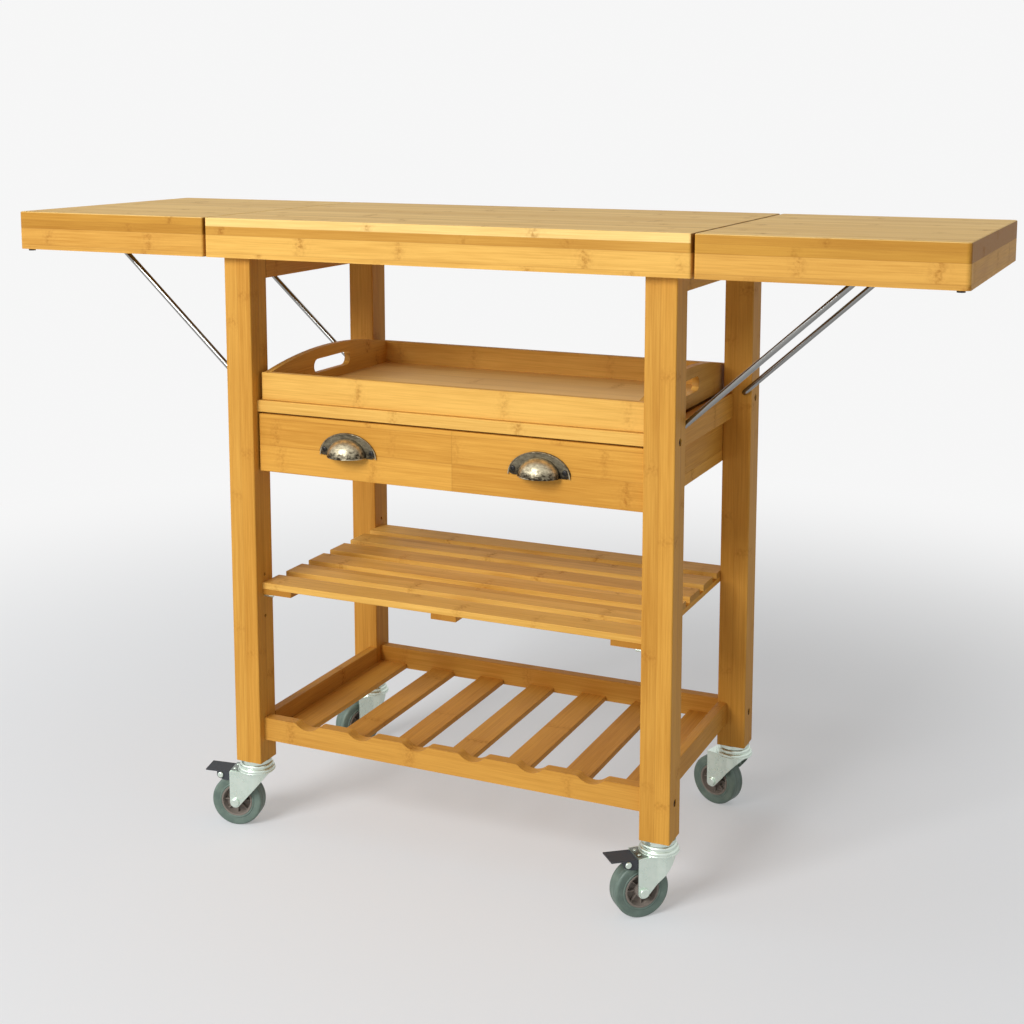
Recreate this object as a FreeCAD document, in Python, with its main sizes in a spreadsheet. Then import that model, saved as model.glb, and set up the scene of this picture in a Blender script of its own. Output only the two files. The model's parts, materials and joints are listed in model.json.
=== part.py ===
import FreeCAD, Part
import Sketcher
import math
import os
from FreeCAD import Placement, Rotation, Vector

# A drop leaf kitchen island on casters, laid out in millimetres. X runs along
# the island, Y towards its back and Z up. The origin is on the floor under the
# middle of the whole outline, whose front is the tip of a brake pedal. Both
# leaves are shown raised on their wire bails.

SIZES = {
    # worktop
    "worktop_height": 894,          # floor to the top face
    "middle_back": 13,              # worktop's middle, behind the frame's origin
    "slab_length": 706,             # fixed centre part of the top
    "leaf_length": 325,             # each drop leaf
    "seam_gap": 4,                  # between the slab and a leaf
    "top_depth": 414,
    "board_thickness": 24,
    "apron_height": 31,             # skirt under every board
    "long_apron_thickness": 14,
    "end_apron_thickness": 21,
    "leaf_corner_radius": 6,
    "seam_corner_radius": 3,
    "leaf_edge_radius": 2,
    "easing": 1,                    # softened edges of the bamboo pieces
    # legs and the rails between them
    "leg_side": 42,
    "leg_edge_radius": 2,
    "caster_height": 102.5,         # floor to the foot of a leg
    "side_rail_thickness": 14,
    "top_rail_height": 63,
    # drawer box between the legs
    "tray_deck_height": 637,        # top of the strips that carry the tray
    "strip_height": 16.5,
    "strip_depth": 17,
    "front_setback": 12,            # behind the front faces of the legs
    "box_rail_height": 37,
    "box_bottom_height": 535,
    "guard_thickness": 12,
    "runner_height": 17,
    "runner_width": 28,
    "back_panel_thickness": 6,
    # drawer
    "drawer_top_gap": 2.5,
    "drawer_end_gap": 2.5,
    "drawer_bottom_gap": 0.5,
    "drawer_side_thickness": 11,
    "drawer_side_gap": 1.5,
    "drawer_side_height": 54,
    "drawer_length": 330,           # front face to back, over all
    "drawer_bottom_thickness": 5,
    "drawer_bottom_lift": 6,
    "groove_depth": 4,
    "running_gap": 0.3,             # under the pieces that slide or turn
    # cup pulls
    "pull_spacing": 288,
    "pull_width": 89,
    "pull_rise": 33,                # height of the back plate
    "pull_plate_thickness": 2,
    "pull_drop": 8,                 # its lower edge, below the drawer front's middle
    "pull_corner_radius": 6,
    "cup_width": 60,
    "cup_depth": 26,                # how far the cup stands out, and its height
    "cup_wall": 1.6,
    "pull_screw_spacing": 72,
    "pull_screw_lift": 8,
    "pull_screw_radius": 1.8,
    "pull_screw_head_radius": 3.8,
    "pull_screw_head_height": 1.8,
    # tray
    "tray_length": 569,
    "tray_depth": 352,
    "tray_wall": 10,
    "tray_wall_height": 39,
    "tray_arch_rise": 17,
    "tray_floor_thickness": 5,
    "hand_hole_length": 105,
    "hand_hole_height": 21,
    "hand_hole_lift": 29,           # its middle, above the tray's underside
    # middle shelf
    "shelf_height": 370.5,
    "shelf_depth": 356,
    "shelf_slat_thickness": 9.5,
    "shelf_slat_width": 44,
    "shelf_slat_count": 6,
    "batten_thickness": 7.5,
    "end_batten_width": 47,
    "middle_batten_width": 38,
    "shelf_pin_radius": 2.5,
    "shelf_pin_length": 26,
    "shelf_pin_depth": 12,          # how far it goes into the leg
    "shelf_hole_pitch": 31,
    # wine rack
    "rack_top_height": 169,
    "rack_rail_height": 33,
    "rack_slat_thickness": 8,
    "rack_slat_width": 40,
    "rack_slat_pitch": 87.2,
    "rack_slat_count": 7,
    "dip_radius": 26,
    "dip_depth": 8.5,
    "dip_lip_radius": 8,
    # wire bails that prop the leaves
    "bail_rod_radius": 4,
    "bail_pivot_height": 639,
    "bail_pivot_inset": 10,         # inboard of a leg's outer face
    "bail_reach": 238,              # pivot to crossbar, along the island
    "bail_rise": 217,               # pivot to crossbar, upwards
    "bail_pin_length": 12,          # in the leg
    "bail_leg_gap": 1,
    "bail_corner_radius": 14,
    "pivot_gap": 0.05,              # around every shaft that turns
    "catch_width": 28,
    "catch_length": 120,
    "catch_hook": 0.5,              # its lowest face, above the crossbar's middle
    # leaf hinges
    "hinge_length": 60,
    "hinge_offset": 120,            # from the middle of the top's depth
    "hinge_knuckle_radius": 3,
    "hinge_knuckle_length": 28,     # the leaf's middle knuckle
    "hinge_pin_radius": 1.5,
    "hinge_drop": 3.2,              # pin's axis below the aprons
    "hinge_plate_width": 17,        # seam's middle to the plate's outer edge
    "hinge_plate_thickness": 1.5,
    "hinge_screw_pitch": 38,
    "hinge_screw_inset": 6,
    "hinge_screw_radius": 1.6,
    "hinge_screw_head_radius": 3.2,
    "hinge_screw_head_height": 1.4,
    "hinge_screw_length": 16,
    # rubber bumpers under the free ends of the leaves
    "bumper_radius": 5,
    "bumper_height": 3,
    "bumper_inset": 12,
    # bolts through the legs
    "bolt_radius": 3,
    "bolt_head_radius": 4.8,
    "bolt_head_length": 5,
    "bolt_head_sink": 1.5,
    "bolt_grip": 30,                # past the leg, into the strip or rail
    "bolt_hole_gap": 0.2,
    "bolt_socket_radius": 2.4,
    "bolt_socket_depth": 3.3,
    # casters
    "wheel_radius": 37.5,
    "wheel_width": 24,
    "tyre_bore_radius": 23.5,
    "tyre_shoulder": 3,
    "hub_rim_thickness": 2.5,
    "hub_web_thickness": 7,
    "hub_boss_radius": 9,
    "hub_boss_width": 29,
    "axle_radius": 4,
    "axle_head_radius": 6.5,
    "axle_head_height": 3.5,
    "caster_offset": 28,            # swivel axis to axle
    "fork_half_width": 18,          # outer faces of the cheeks
    "fork_cup_radius": 22,
    "fork_cup_start": 10,           # cheeks begin to flare behind the axis
    "fork_wall": 2,
    "fork_end_radius": 8,
    "fork_top_height": 84.5,
    "fork_nose_height": 83,
    "raceway_radius": 26.5,
    "raceway_height": 7.2,
    "raceway_rounding": 3,
    "raceway_cap_radius": 24,
    "raceway_cap_height": 5.5,
    "mount_radius": 22,
    "kingpin_radius": 5,
    "kingpin_head_radius": 9,
    "kingpin_head_height": 3,
    "stem_length": 40,
    "front_left_turn": 14,          # how far each caster has swivelled
    "front_right_turn": 43,
    "back_left_turn": 61,
    "back_right_turn": -17,
    # brake pedals of the front casters
    "brake_pin_back": 50,           # behind the swivel axis
    "brake_pin_height": 78,
    "brake_pin_radius": 2,
    "brake_pin_head_radius": 4.3,
    "brake_pin_head_height": 2.7,
    "brake_lug_radius": 3.7,
    "brake_lug_inset": 11.2,        # the lugs' inner faces, from the middle
    "brake_lug_root": 6,            # how far the lugs reach in under the fork
    "pedal_half_width": 15.5,
    "pedal_wall": 1.6,
    "pedal_tip_back": 73,
    "pedal_tip_height": 84.8,
    "pedal_root_height": 83,
    "pedal_skirt_height": 70,       # floor to the skirts' lower edge
    "pedal_skirt_length": 8,
    "pedal_ear_radius": 6,
    "pedal_press": 15,              # degrees from released to braked
    "heel_half_width": 10.5,
    "heel_radius": 2.2,
}

WRITTEN_TOLERANCE = 1e-4            # share of its volume that a written solid may differ by

doc = FreeCAD.newDocument("DropLeafIsland")
sheet = doc.addObject("Spreadsheet::Sheet", "Sizes")
for row, (alias, number) in enumerate(SIZES.items(), start=1):
    sheet.set("A%d" % row, alias.replace("_", " "))
    sheet.set("B%d" % row, str(number))
    sheet.setAlias("B%d" % row, alias)
doc.recompute()


class Size:
    """A size as the expression that binds it to the sheet and the number it has now."""

    def __init__(self, text, number):
        self.text = text
        self.number = number

    def __float__(self):
        return float(self.number)

    def __neg__(self):
        return Size("(-%s)" % self.text, -self.number)

    def __add__(self, other):
        return Size("(%s + %s)" % (self.text, text_of(other)), self.number + float(other))

    def __sub__(self, other):
        return Size("(%s - %s)" % (self.text, text_of(other)), self.number - float(other))

    def __mul__(self, other):
        return Size("(%s * %s)" % (self.text, text_of(other)), self.number * float(other))

    def __truediv__(self, other):
        return Size("(%s / %s)" % (self.text, text_of(other)), self.number / float(other))

    def __radd__(self, other):
        return self + other

    def __rmul__(self, other):
        return self * other

    def __rsub__(self, other):
        return (-self) + other


def text_of(value):
    return value.text if isinstance(value, Size) else repr(float(value))


class Sheet:
    """Gives each alias of the sheet as a Size."""

    def __getattr__(self, alias):
        return Size("Sizes.%s" % alias, float(sheet.get(alias)))


s = Sheet()

# places that several pieces share
half_slab = s.slab_length / 2
half_depth = s.top_depth / 2
leaf_start = half_slab + s.seam_gap
leaf_end = leaf_start + s.leaf_length
seam_middle = half_slab + s.seam_gap / 2
board_bottom = s.worktop_height - s.board_thickness
apron_bottom = board_bottom - s.apron_height
leg_outer_x = half_slab - s.end_apron_thickness
leg_inner_x = leg_outer_x - s.leg_side
leg_outer_y = half_depth - s.long_apron_thickness
leg_inner_y = leg_outer_y - s.leg_side
leg_middle_x = leg_outer_x - s.leg_side / 2
leg_middle_y = leg_outer_y - s.leg_side / 2
strip_outer_y = leg_outer_y - s.front_setback
strip_inner_y = strip_outer_y - s.strip_depth
strip_bottom = s.tray_deck_height - s.strip_height
guard_inner_x = leg_inner_x - s.guard_thickness
runner_top = s.box_bottom_height + s.runner_height
rack_bottom = s.rack_top_height - s.rack_rail_height

SIDES = (("left", -1), ("right", 1))
CORNERS = [(end + "_" + side, sign_x, sign_y)
           for end, sign_y in (("front", -1), ("back", 1))
           for side, sign_x in SIDES]


def sided(sign, near, far):
    """The span from near to far, measured from the middle towards one side."""
    return (near, far) if sign > 0 else (-far, -near)


def both(half):
    return (-half, half)


def bind(thing, **properties):
    """Binds properties of an object to sizes on the sheet."""
    for name, size in properties.items():
        thing.setExpression(name.replace("__", "."), text_of(size))


def solid(kind, name):
    thing = doc.addObject("Part::" + kind, name)
    thing.Label = name
    return thing


def box(name, x, y, z):
    """A block between two corners given as spans along the axes."""
    thing = solid("Box", name)
    bind(thing, Length=x[1] - x[0], Width=y[1] - y[0], Height=z[1] - z[0])
    bind(thing, Placement__Base__x=x[0], Placement__Base__y=y[0], Placement__Base__z=z[0])
    return thing


def rod(name, axis, radius, span, first, second):
    """A round bar along one axis; first and second place it on the other two, in X, Y, Z order."""
    turns = {"x": Rotation(Vector(0, 1, 0), 90), "y": Rotation(Vector(1, 0, 0), -90), "z": Rotation()}
    thing = solid("Cylinder", name)
    thing.Placement = Placement(Vector(), turns[axis])
    bind(thing, Radius=radius, Height=span[1] - span[0])
    where = {"x": (span[0], first, second), "y": (first, span[0], second),
             "z": (first, second, span[0])}[axis]
    bind(thing, Placement__Base__x=where[0], Placement__Base__y=where[1], Placement__Base__z=where[2])
    return thing


def cut(name, base, tools):
    thing = solid("Cut", name)
    thing.Base = base
    thing.Tool = tools[0] if len(tools) == 1 else group(name + "_tools", tools)
    return thing


def fuse(name, pieces):
    thing = solid("MultiFuse", name)
    thing.Shapes = pieces
    return thing


def group(name, pieces):
    thing = solid("Compound", name)
    thing.Links = pieces
    return thing


def shaped(name, shape, placement=None):
    """A piece whose form no bound feature fits."""
    thing = doc.addObject("Part::Feature", name)
    thing.Label = name
    thing.Shape = shape
    if placement is not None:
        thing.Placement = placement
    return thing


def arc_centre(start, end, radius, side):
    """Centre of the arc from start to end, to the left (side 1) or right (side -1) of the way."""
    chord = end - start
    middle = (start + end) * 0.5
    left = Vector(-chord.y, chord.x, 0).normalize()
    rise = math.sqrt(max(radius * radius - chord.Length * chord.Length / 4, 0))
    return middle + left * (rise * side)


def draw_outline(sketch, corners):
    """Closes a sketch through its corners, each bound to the sheet.

    A corner is (u, v), or (u, v, radius, side) where an arc leads on to the next one.
    """
    points = [Vector(float(corner[0]), float(corner[1]), 0) for corner in corners]
    ends = []
    for index, corner in enumerate(corners):
        start = points[index]
        end = points[(index + 1) % len(points)]
        if len(corner) == 2:
            edge = sketch.addGeometry(Part.LineSegment(start, end))
            ends.append((edge, 1, 2))
            continue
        radius, side = corner[2], corner[3]
        centre = arc_centre(start, end, float(radius), side)
        first, last = (start, end) if side > 0 else (end, start)
        angles = [math.atan2(point.y - centre.y, point.x - centre.x) for point in (first, last)]
        circle = Part.Circle(centre, Vector(0, 0, 1), float(radius))
        edge = sketch.addGeometry(Part.ArcOfCircle(circle, angles[0], angles[1]))
        ends.append((edge, 1, 2) if side > 0 else (edge, 2, 1))
        bound = sketch.addConstraint(Sketcher.Constraint("Radius", edge, float(radius)))
        sketch.setExpression("Constraints[%d]" % bound, text_of(radius))
    for index, (edge, start_point, end_point) in enumerate(ends):
        following = ends[(index + 1) % len(ends)]
        sketch.addConstraint(Sketcher.Constraint("Coincident", edge, end_point, following[0], following[1]))
        for kind, size in (("DistanceX", corners[index][0]), ("DistanceY", corners[index][1])):
            pinned = Sketcher.Constraint(kind, -1, 1, edge, start_point, float(size))
            bound = sketch.addConstraint(pinned)
            sketch.setExpression("Constraints[%d]" % bound, text_of(size))


def origin_plane(body, role):
    return [plane for plane in body.Origin.OriginFeatures if plane.Role == role][0]


def prism(name, plane, corners, span, rounds=()):
    """A body padded from an outline: across X and Y, X and Z, or Y and Z, over a span of the third axis.

    rounds lists pairs of an edge test and the radius of its edges.
    """
    body = doc.addObject("PartDesign::Body", name)
    body.Label = name
    sketch = body.newObject("Sketcher::SketchObject", name + "_outline")
    sketch.AttachmentSupport = [(origin_plane(body, plane + "_Plane"), "")]
    sketch.MapMode = "FlatFace"
    start = -span[1] if plane == "XZ" else span[0]
    bind(sketch, AttachmentOffset__Base__z=start)
    draw_outline(sketch, corners)
    pad = body.newObject("PartDesign::Pad", name + "_pad")
    pad.Profile = sketch
    bind(pad, Length=span[1] - span[0])
    doc.recompute()
    for count, (test, radius) in enumerate(rounds):
        base = body.Tip
        edges = ["Edge%d" % (i + 1) for i, edge in enumerate(base.Shape.Edges) if test(edge)]
        if not edges:
            raise RuntimeError("%s has no edge for its rounding %d" % (name, count))
        fillet = body.newObject("PartDesign::Fillet", "%s_round%d" % (name, count))
        fillet.Base = (base, edges)
        bind(fillet, Radius=radius)
        body.Tip = fillet
        doc.recompute()
    return body


def rectangle(u, v):
    return [(u[0], v[0]), (u[1], v[0]), (u[1], v[1]), (u[0], v[1])]


def near(value, size):
    return abs(value - float(size)) < 1e-4


def along(axis, **where):
    """Tests for straight edges along an axis that lie at the given coordinates."""
    def test(edge):
        ends = [vertex.Point for vertex in edge.Vertexes]
        if len(ends) != 2:
            return False
        way = ends[1] - ends[0]
        if abs(getattr(way, axis)) < 0.999 * way.Length:
            return False
        return all(any(near(getattr(ends[0], name), size) for size in sizes)
                   for name, sizes in where.items())
    return test


def probes(edge):
    """The ends of an edge and a point between them."""
    middle = edge.valueAt((edge.FirstParameter + edge.LastParameter) / 2)
    return [vertex.Point for vertex in edge.Vertexes] + [middle]


def in_level(z):
    """Tests for edges that lie wholly at one height."""
    def test(edge):
        return all(near(point.z, z) for point in probes(edge))
    return test


def bamboo(name, x, y, z, grain, radius=None):
    """A rectangular piece with its four long edges, those along the grain, softened."""
    rounds = [(along(grain), s.easing if radius is None else radius)]
    return prism(name, "XY", rectangle(x, y), z, rounds)


# ---------------------------------------------------------------- worktop

def make_slab():
    board = prism("centre_top_board", "XY", rectangle(both(half_slab), both(half_depth)),
                  (board_bottom, s.worktop_height),
                  [(along("z"), s.seam_corner_radius), (in_level(s.worktop_height), s.easing)])
    aprons = []
    for end, sign in (("front", -1), ("back", 1)):
        face = half_depth * sign
        aprons.append(prism(end + "_apron", "XY",
                            rectangle(both(half_slab), sided(sign, leg_outer_y, half_depth)),
                            (apron_bottom, board_bottom),
                            [(along("z", y=[face]), s.seam_corner_radius)]))
    for side, sign in SIDES:
        blank = box(side + "_apron_blank", sided(sign, leg_outer_x, half_slab), both(leg_outer_y),
                    (apron_bottom, board_bottom))
        aprons.append(cut(side + "_apron", blank, hinge_screw_holes(side + "_apron", sign, True)))
    return [board, group("centre_top_aprons", aprons)]


def make_leaf(side, sign):
    length = sided(sign, leaf_start, leaf_end)
    outer_x = leaf_end * sign
    inner_x = leaf_start * sign
    board = prism(side + "_leaf_board", "XY", rectangle(length, both(half_depth)),
                  (board_bottom, s.worktop_height),
                  [(along("z", x=[outer_x]), s.leaf_corner_radius),
                   (along("z", x=[inner_x]), s.seam_corner_radius),
                   (in_level(s.worktop_height), s.leaf_edge_radius)])
    return board


def make_leaf_rails(side, sign):
    length = sided(sign, leaf_start, leaf_end)
    outer_x = leaf_end * sign
    inner_x = leaf_start * sign
    height = (apron_bottom, board_bottom)
    rails = []
    for end, sign_y in (("front", -1), ("back", 1)):
        face = half_depth * sign_y
        rails.append(prism("%s_leaf_%s_rail" % (side, end), "XY",
                           rectangle(length, sided(sign_y, leg_outer_y, half_depth)), height,
                           [(along("z", x=[outer_x], y=[face]), s.leaf_corner_radius),
                            (along("z", x=[inner_x], y=[face]), s.seam_corner_radius)]))
    inner = box(side + "_leaf_inner_rail_blank",
                sided(sign, leaf_start, leaf_start + s.end_apron_thickness), both(leg_outer_y), height)
    name = side + "_leaf_inner_rail"
    rails.append(cut(name, inner, hinge_screw_holes(name, sign, False)))
    rails.append(box(side + "_leaf_outer_rail",
                     sided(sign, leaf_end - s.end_apron_thickness, leaf_end), both(leg_outer_y), height))
    return group(side + "_leaf_rails", rails)


def make_bumpers(side, sign):
    bumpers = []
    for end, sign_y in (("front", -1), ("back", 1)):
        x = (leaf_end - s.bumper_inset) * sign
        y = (half_depth - s.bumper_inset) * sign_y
        low = apron_bottom - s.bumper_height
        shank = rod("%s_%s_bumper" % (side, end), "z", s.bumper_radius, (low, apron_bottom), x, y)
        bumpers.append(shank)
    return group(side + "_leaf_bumpers", bumpers)


# ---------------------------------------------------------------- legs

bolt_levels = (s.tray_deck_height - s.strip_height / 2, rack_bottom + s.rack_rail_height / 2)
strip_middle_y = strip_outer_y - s.strip_depth / 2
shelf_bottom = s.shelf_height - s.shelf_slat_thickness - s.batten_thickness
shelf_pin_height = shelf_bottom - s.shelf_pin_radius
shelf_hole_levels = [shelf_pin_height + s.shelf_hole_pitch * step for step in (-1, 0, 1)]
bail_pivot_x = leg_outer_x - s.bail_pivot_inset
bail_pin_end = leg_inner_y + s.bail_pin_length


def make_leg(corner, sign_x, sign_y):
    name = "leg_" + corner
    post = prism(name + "_post", "XY",
                 rectangle(sided(sign_x, leg_inner_x, leg_outer_x), sided(sign_y, leg_inner_y, leg_outer_y)),
                 (s.caster_height, board_bottom), [(along("z"), s.leg_edge_radius)])
    holes = []
    for step, level in enumerate(bolt_levels):
        y = strip_middle_y * sign_y
        seat = leg_outer_x - s.bolt_head_sink - s.bolt_head_length
        holes.append(rod("%s_bolt_hole%d" % (name, step), "x", s.bolt_radius + s.bolt_hole_gap,
                         sided(sign_x, leg_inner_x, leg_outer_x), y, level))
        holes.append(rod("%s_bolt_seat%d" % (name, step), "x", s.bolt_head_radius + s.bolt_hole_gap,
                         sided(sign_x, seat, leg_outer_x), y, level))
    for step, level in enumerate(shelf_hole_levels):
        holes.append(rod("%s_shelf_hole%d" % (name, step), "x", s.shelf_pin_radius,
                         sided(sign_x, leg_inner_x, leg_inner_x + s.shelf_pin_depth),
                         leg_middle_y * sign_y, level))
    holes.append(rod(name + "_bail_hole", "y", s.bail_rod_radius + s.pivot_gap,
                     sided(sign_y, leg_inner_y, bail_pin_end + s.running_gap),
                     bail_pivot_x * sign_x, s.bail_pivot_height))
    holes.append(rod(name + "_stem_hole", "z", s.kingpin_radius,
                     (s.caster_height, s.caster_height + s.stem_length),
                     leg_middle_x * sign_x, leg_middle_y * sign_y))
    return cut(name, post, holes)


def make_side_rails(name, height):
    rails = []
    for side, sign in SIDES:
        rails.append(bamboo("%s_%s" % (name, side),
                            sided(sign, leg_inner_x, leg_inner_x + s.side_rail_thickness),
                            both(leg_inner_y), height, "y"))
    return group(name, rails)


def make_bolts():
    bolts = []
    for corner, sign_x, sign_y in CORNERS:
        for step, level in enumerate(bolt_levels):
            name = "bolt_%s_%d" % (corner, step)
            y = strip_middle_y * sign_y
            head_end = leg_outer_x - s.bolt_head_sink
            head_start = head_end - s.bolt_head_length
            shank = rod(name + "_shank", "x", s.bolt_radius,
                        sided(sign_x, leg_inner_x - s.bolt_grip, head_start), y, level)
            head = rod(name + "_head", "x", s.bolt_head_radius, sided(sign_x, head_start, head_end), y, level)
            socket = rod(name + "_socket", "x", s.bolt_socket_radius,
                         sided(sign_x, head_end - s.bolt_socket_depth, head_end), y, level)
            bolts.append(cut(name, fuse(name + "_blank", [shank, head]), [socket]))
    return group("frame_bolts", bolts)


def bolted_bar(name, sign_y, z, level, rounds):
    """A bar between the legs with a bolt hole in each end."""
    across = sided(sign_y, strip_inner_y, strip_outer_y)
    blank = prism(name + "_blank", "XY", rectangle(both(leg_inner_x), across), z, rounds)
    holes = [rod("%s_%s_hole" % (name, side), "x", s.bolt_radius,
                 sided(sign, leg_inner_x - s.bolt_grip, leg_inner_x), strip_middle_y * sign_y, level)
             for side, sign in SIDES]
    return cut(name, blank, holes)


# ---------------------------------------------------------------- drawer box

def make_drawer_box():
    deck = (strip_bottom, s.tray_deck_height)
    strips = [bolted_bar("tray_strip_" + end, sign_y, deck, bolt_levels[0], [(along("x"), s.easing)])
              for end, sign_y in (("front", -1), ("back", 1))]
    guards = []
    runners = []
    for side, sign in SIDES:
        guards.append(box(side + "_guard", sided(sign, guard_inner_x, leg_inner_x), both(strip_inner_y),
                          (runner_top, strip_bottom)))
        runners.append(bamboo(side + "_runner", sided(sign, leg_inner_x - s.runner_width, leg_inner_x),
                              both(strip_inner_y), (s.box_bottom_height, runner_top), "y"))
    back = box("box_back", both(leg_inner_x), (strip_inner_y, strip_inner_y + s.back_panel_thickness),
               (s.box_bottom_height, strip_bottom))
    rails = make_side_rails("box_side_rails", (s.tray_deck_height - s.box_rail_height, s.tray_deck_height))
    return [group("tray_strips", strips), rails, group("drawer_guards", guards),
            group("drawer_runners", runners), group("box_back_panel", [back])]


# ---------------------------------------------------------------- drawer

drawer_front_face = -strip_outer_y
drawer_front_back = -strip_inner_y - s.running_gap
drawer_back_face = drawer_front_face + s.drawer_length
drawer_outer_x = guard_inner_x - s.drawer_side_gap
drawer_inner_x = drawer_outer_x - s.drawer_side_thickness
drawer_low = runner_top + s.running_gap
drawer_high = drawer_low + s.drawer_side_height
drawer_front_low = s.box_bottom_height + s.drawer_bottom_gap
drawer_front_high = strip_bottom - s.drawer_top_gap
drawer_front_middle = (drawer_front_low + drawer_front_high) / 2
panel_low = drawer_low + s.drawer_bottom_lift
panel_high = panel_low + s.drawer_bottom_thickness
screw_level = drawer_front_middle - s.pull_drop + s.pull_screw_lift


def pull_screw_places():
    return [s.pull_spacing / 2 * side + s.pull_screw_spacing / 2 * end for side in (-1, 1) for end in (-1, 1)]


def make_drawer():
    front = prism("drawer_front_blank", "XZ",
                  rectangle(both(leg_inner_x - s.drawer_end_gap), (drawer_front_low, drawer_front_high)),
                  (drawer_front_face, drawer_front_back),
                  [(along("x", y=[drawer_front_face]), s.easing),
                   (along("z", y=[drawer_front_face]), s.easing)])
    holes = [rod("pull_hole%d" % count, "y", s.pull_screw_radius, (drawer_front_face, drawer_front_back),
                 place, screw_level) for count, place in enumerate(pull_screw_places())]
    groove = box("drawer_front_groove", both(drawer_inner_x),
                 (drawer_front_back - s.groove_depth, drawer_front_back), (panel_low, panel_high))
    drawer_front = cut("drawer_front", front, holes + [groove])
    sides = []
    for side, sign in SIDES:
        blank = bamboo(side + "_drawer_side_blank", sided(sign, drawer_inner_x, drawer_outer_x),
                       (drawer_front_back, drawer_back_face), (drawer_low, drawer_high), "y")
        slot = box(side + "_drawer_side_groove", sided(sign, drawer_inner_x, drawer_inner_x + s.groove_depth),
                   (drawer_front_back, drawer_back_face), (panel_low, panel_high))
        sides.append(cut(side + "_drawer_side", blank, [slot]))
    back = box("drawer_back_board", both(drawer_inner_x),
               (drawer_back_face - s.drawer_side_thickness, drawer_back_face), (panel_high, drawer_high))
    wing = [box("drawer_bottom_panel", both(drawer_inner_x + s.groove_depth),
                (drawer_front_back, drawer_back_face), (panel_low, panel_high)),
            box("drawer_bottom_tongue", both(drawer_inner_x),
                (drawer_front_back - s.groove_depth, drawer_front_back), (panel_low, panel_high))]
    bottom = fuse("drawer_bottom", wing)
    return [drawer_front, group("drawer_sides", sides), group("drawer_back", [back]), bottom]


def half_ellipse(half_width, rise, y):
    """A closed half ellipse over the X axis, in the plane at y."""
    curve = Part.Ellipse(Vector(0, y, 0), half_width, rise)
    curve.rotate(Placement(Vector(0, y, 0), Rotation(Vector(1, 0, 0), 90)))
    arc = Part.Arc(curve, 0, math.pi).toShape()
    flat = Part.LineSegment(arc.Vertexes[-1].Point, arc.Vertexes[0].Point).toShape()
    return Part.Wire([arc, flat])


def quarter_dome(half_width, depth):
    """A quarter of an ellipsoid that stands out towards -Y, in splines, which keep its tips closed."""
    section = Part.Face(half_ellipse(half_width, depth, 0))
    return section.revolve(Vector(), Vector(1, 0, 0), 90).toNurbs()


def make_cup_pull():
    """One cup pull at the origin: a back plate and a quarter-round cup open below and at the back."""
    plate_half = float(s.pull_width) / 2
    cup_half = float(s.cup_width) / 2
    depth = float(s.cup_depth)
    wall = float(s.cup_wall)
    plate = Part.Face(half_ellipse(plate_half, float(s.pull_rise), 0))
    plate = plate.extrude(Vector(0, -float(s.pull_plate_thickness), 0))
    corners = [edge for edge in plate.Edges
               if abs(edge.tangentAt(edge.FirstParameter).y) > 0.99 and abs(edge.Vertexes[0].Point.z) < 1e-6]
    plate = plate.makeFillet(float(s.pull_corner_radius), corners)
    solid_pull = plate.fuse(quarter_dome(cup_half, depth))
    return solid_pull.cut(quarter_dome(cup_half - wall, depth - wall)).removeSplitter()


def make_pulls():
    pull = make_cup_pull()
    low = drawer_front_middle - s.pull_drop
    screws = [rod("pull_screw_seat%d" % count, "y", s.pull_screw_radius,
                  (drawer_front_face - s.pull_plate_thickness, drawer_front_face), place, screw_level)
              for count, place in enumerate(pull_screw_places())]
    pulls = []
    for count, sign in enumerate((-1, 1)):
        place = Vector(float(s.pull_spacing) / 2 * sign, float(drawer_front_face), float(low))
        blank = shaped("cup_pull_blank%d" % count, pull, Placement(place, Rotation()))
        pulls.append(cut("cup_pull%d" % count, blank, screws[2 * count:2 * count + 2]))
    return group("cup_pulls", pulls)


def make_pull_screws():
    screws = []
    plate_face = drawer_front_face - s.pull_plate_thickness
    for count, place in enumerate(pull_screw_places()):
        shank = rod("pull_screw_shank%d" % count, "y", s.pull_screw_radius,
                    (plate_face, drawer_front_back), place, screw_level)
        head = rod("pull_screw_head%d" % count, "y", s.pull_screw_head_radius,
                   (plate_face - s.pull_screw_head_height, plate_face), place, screw_level)
        screws.append(fuse("pull_screw%d" % count, [shank, head]))
    return group("pull_screws", screws)


# ---------------------------------------------------------------- tray

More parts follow.
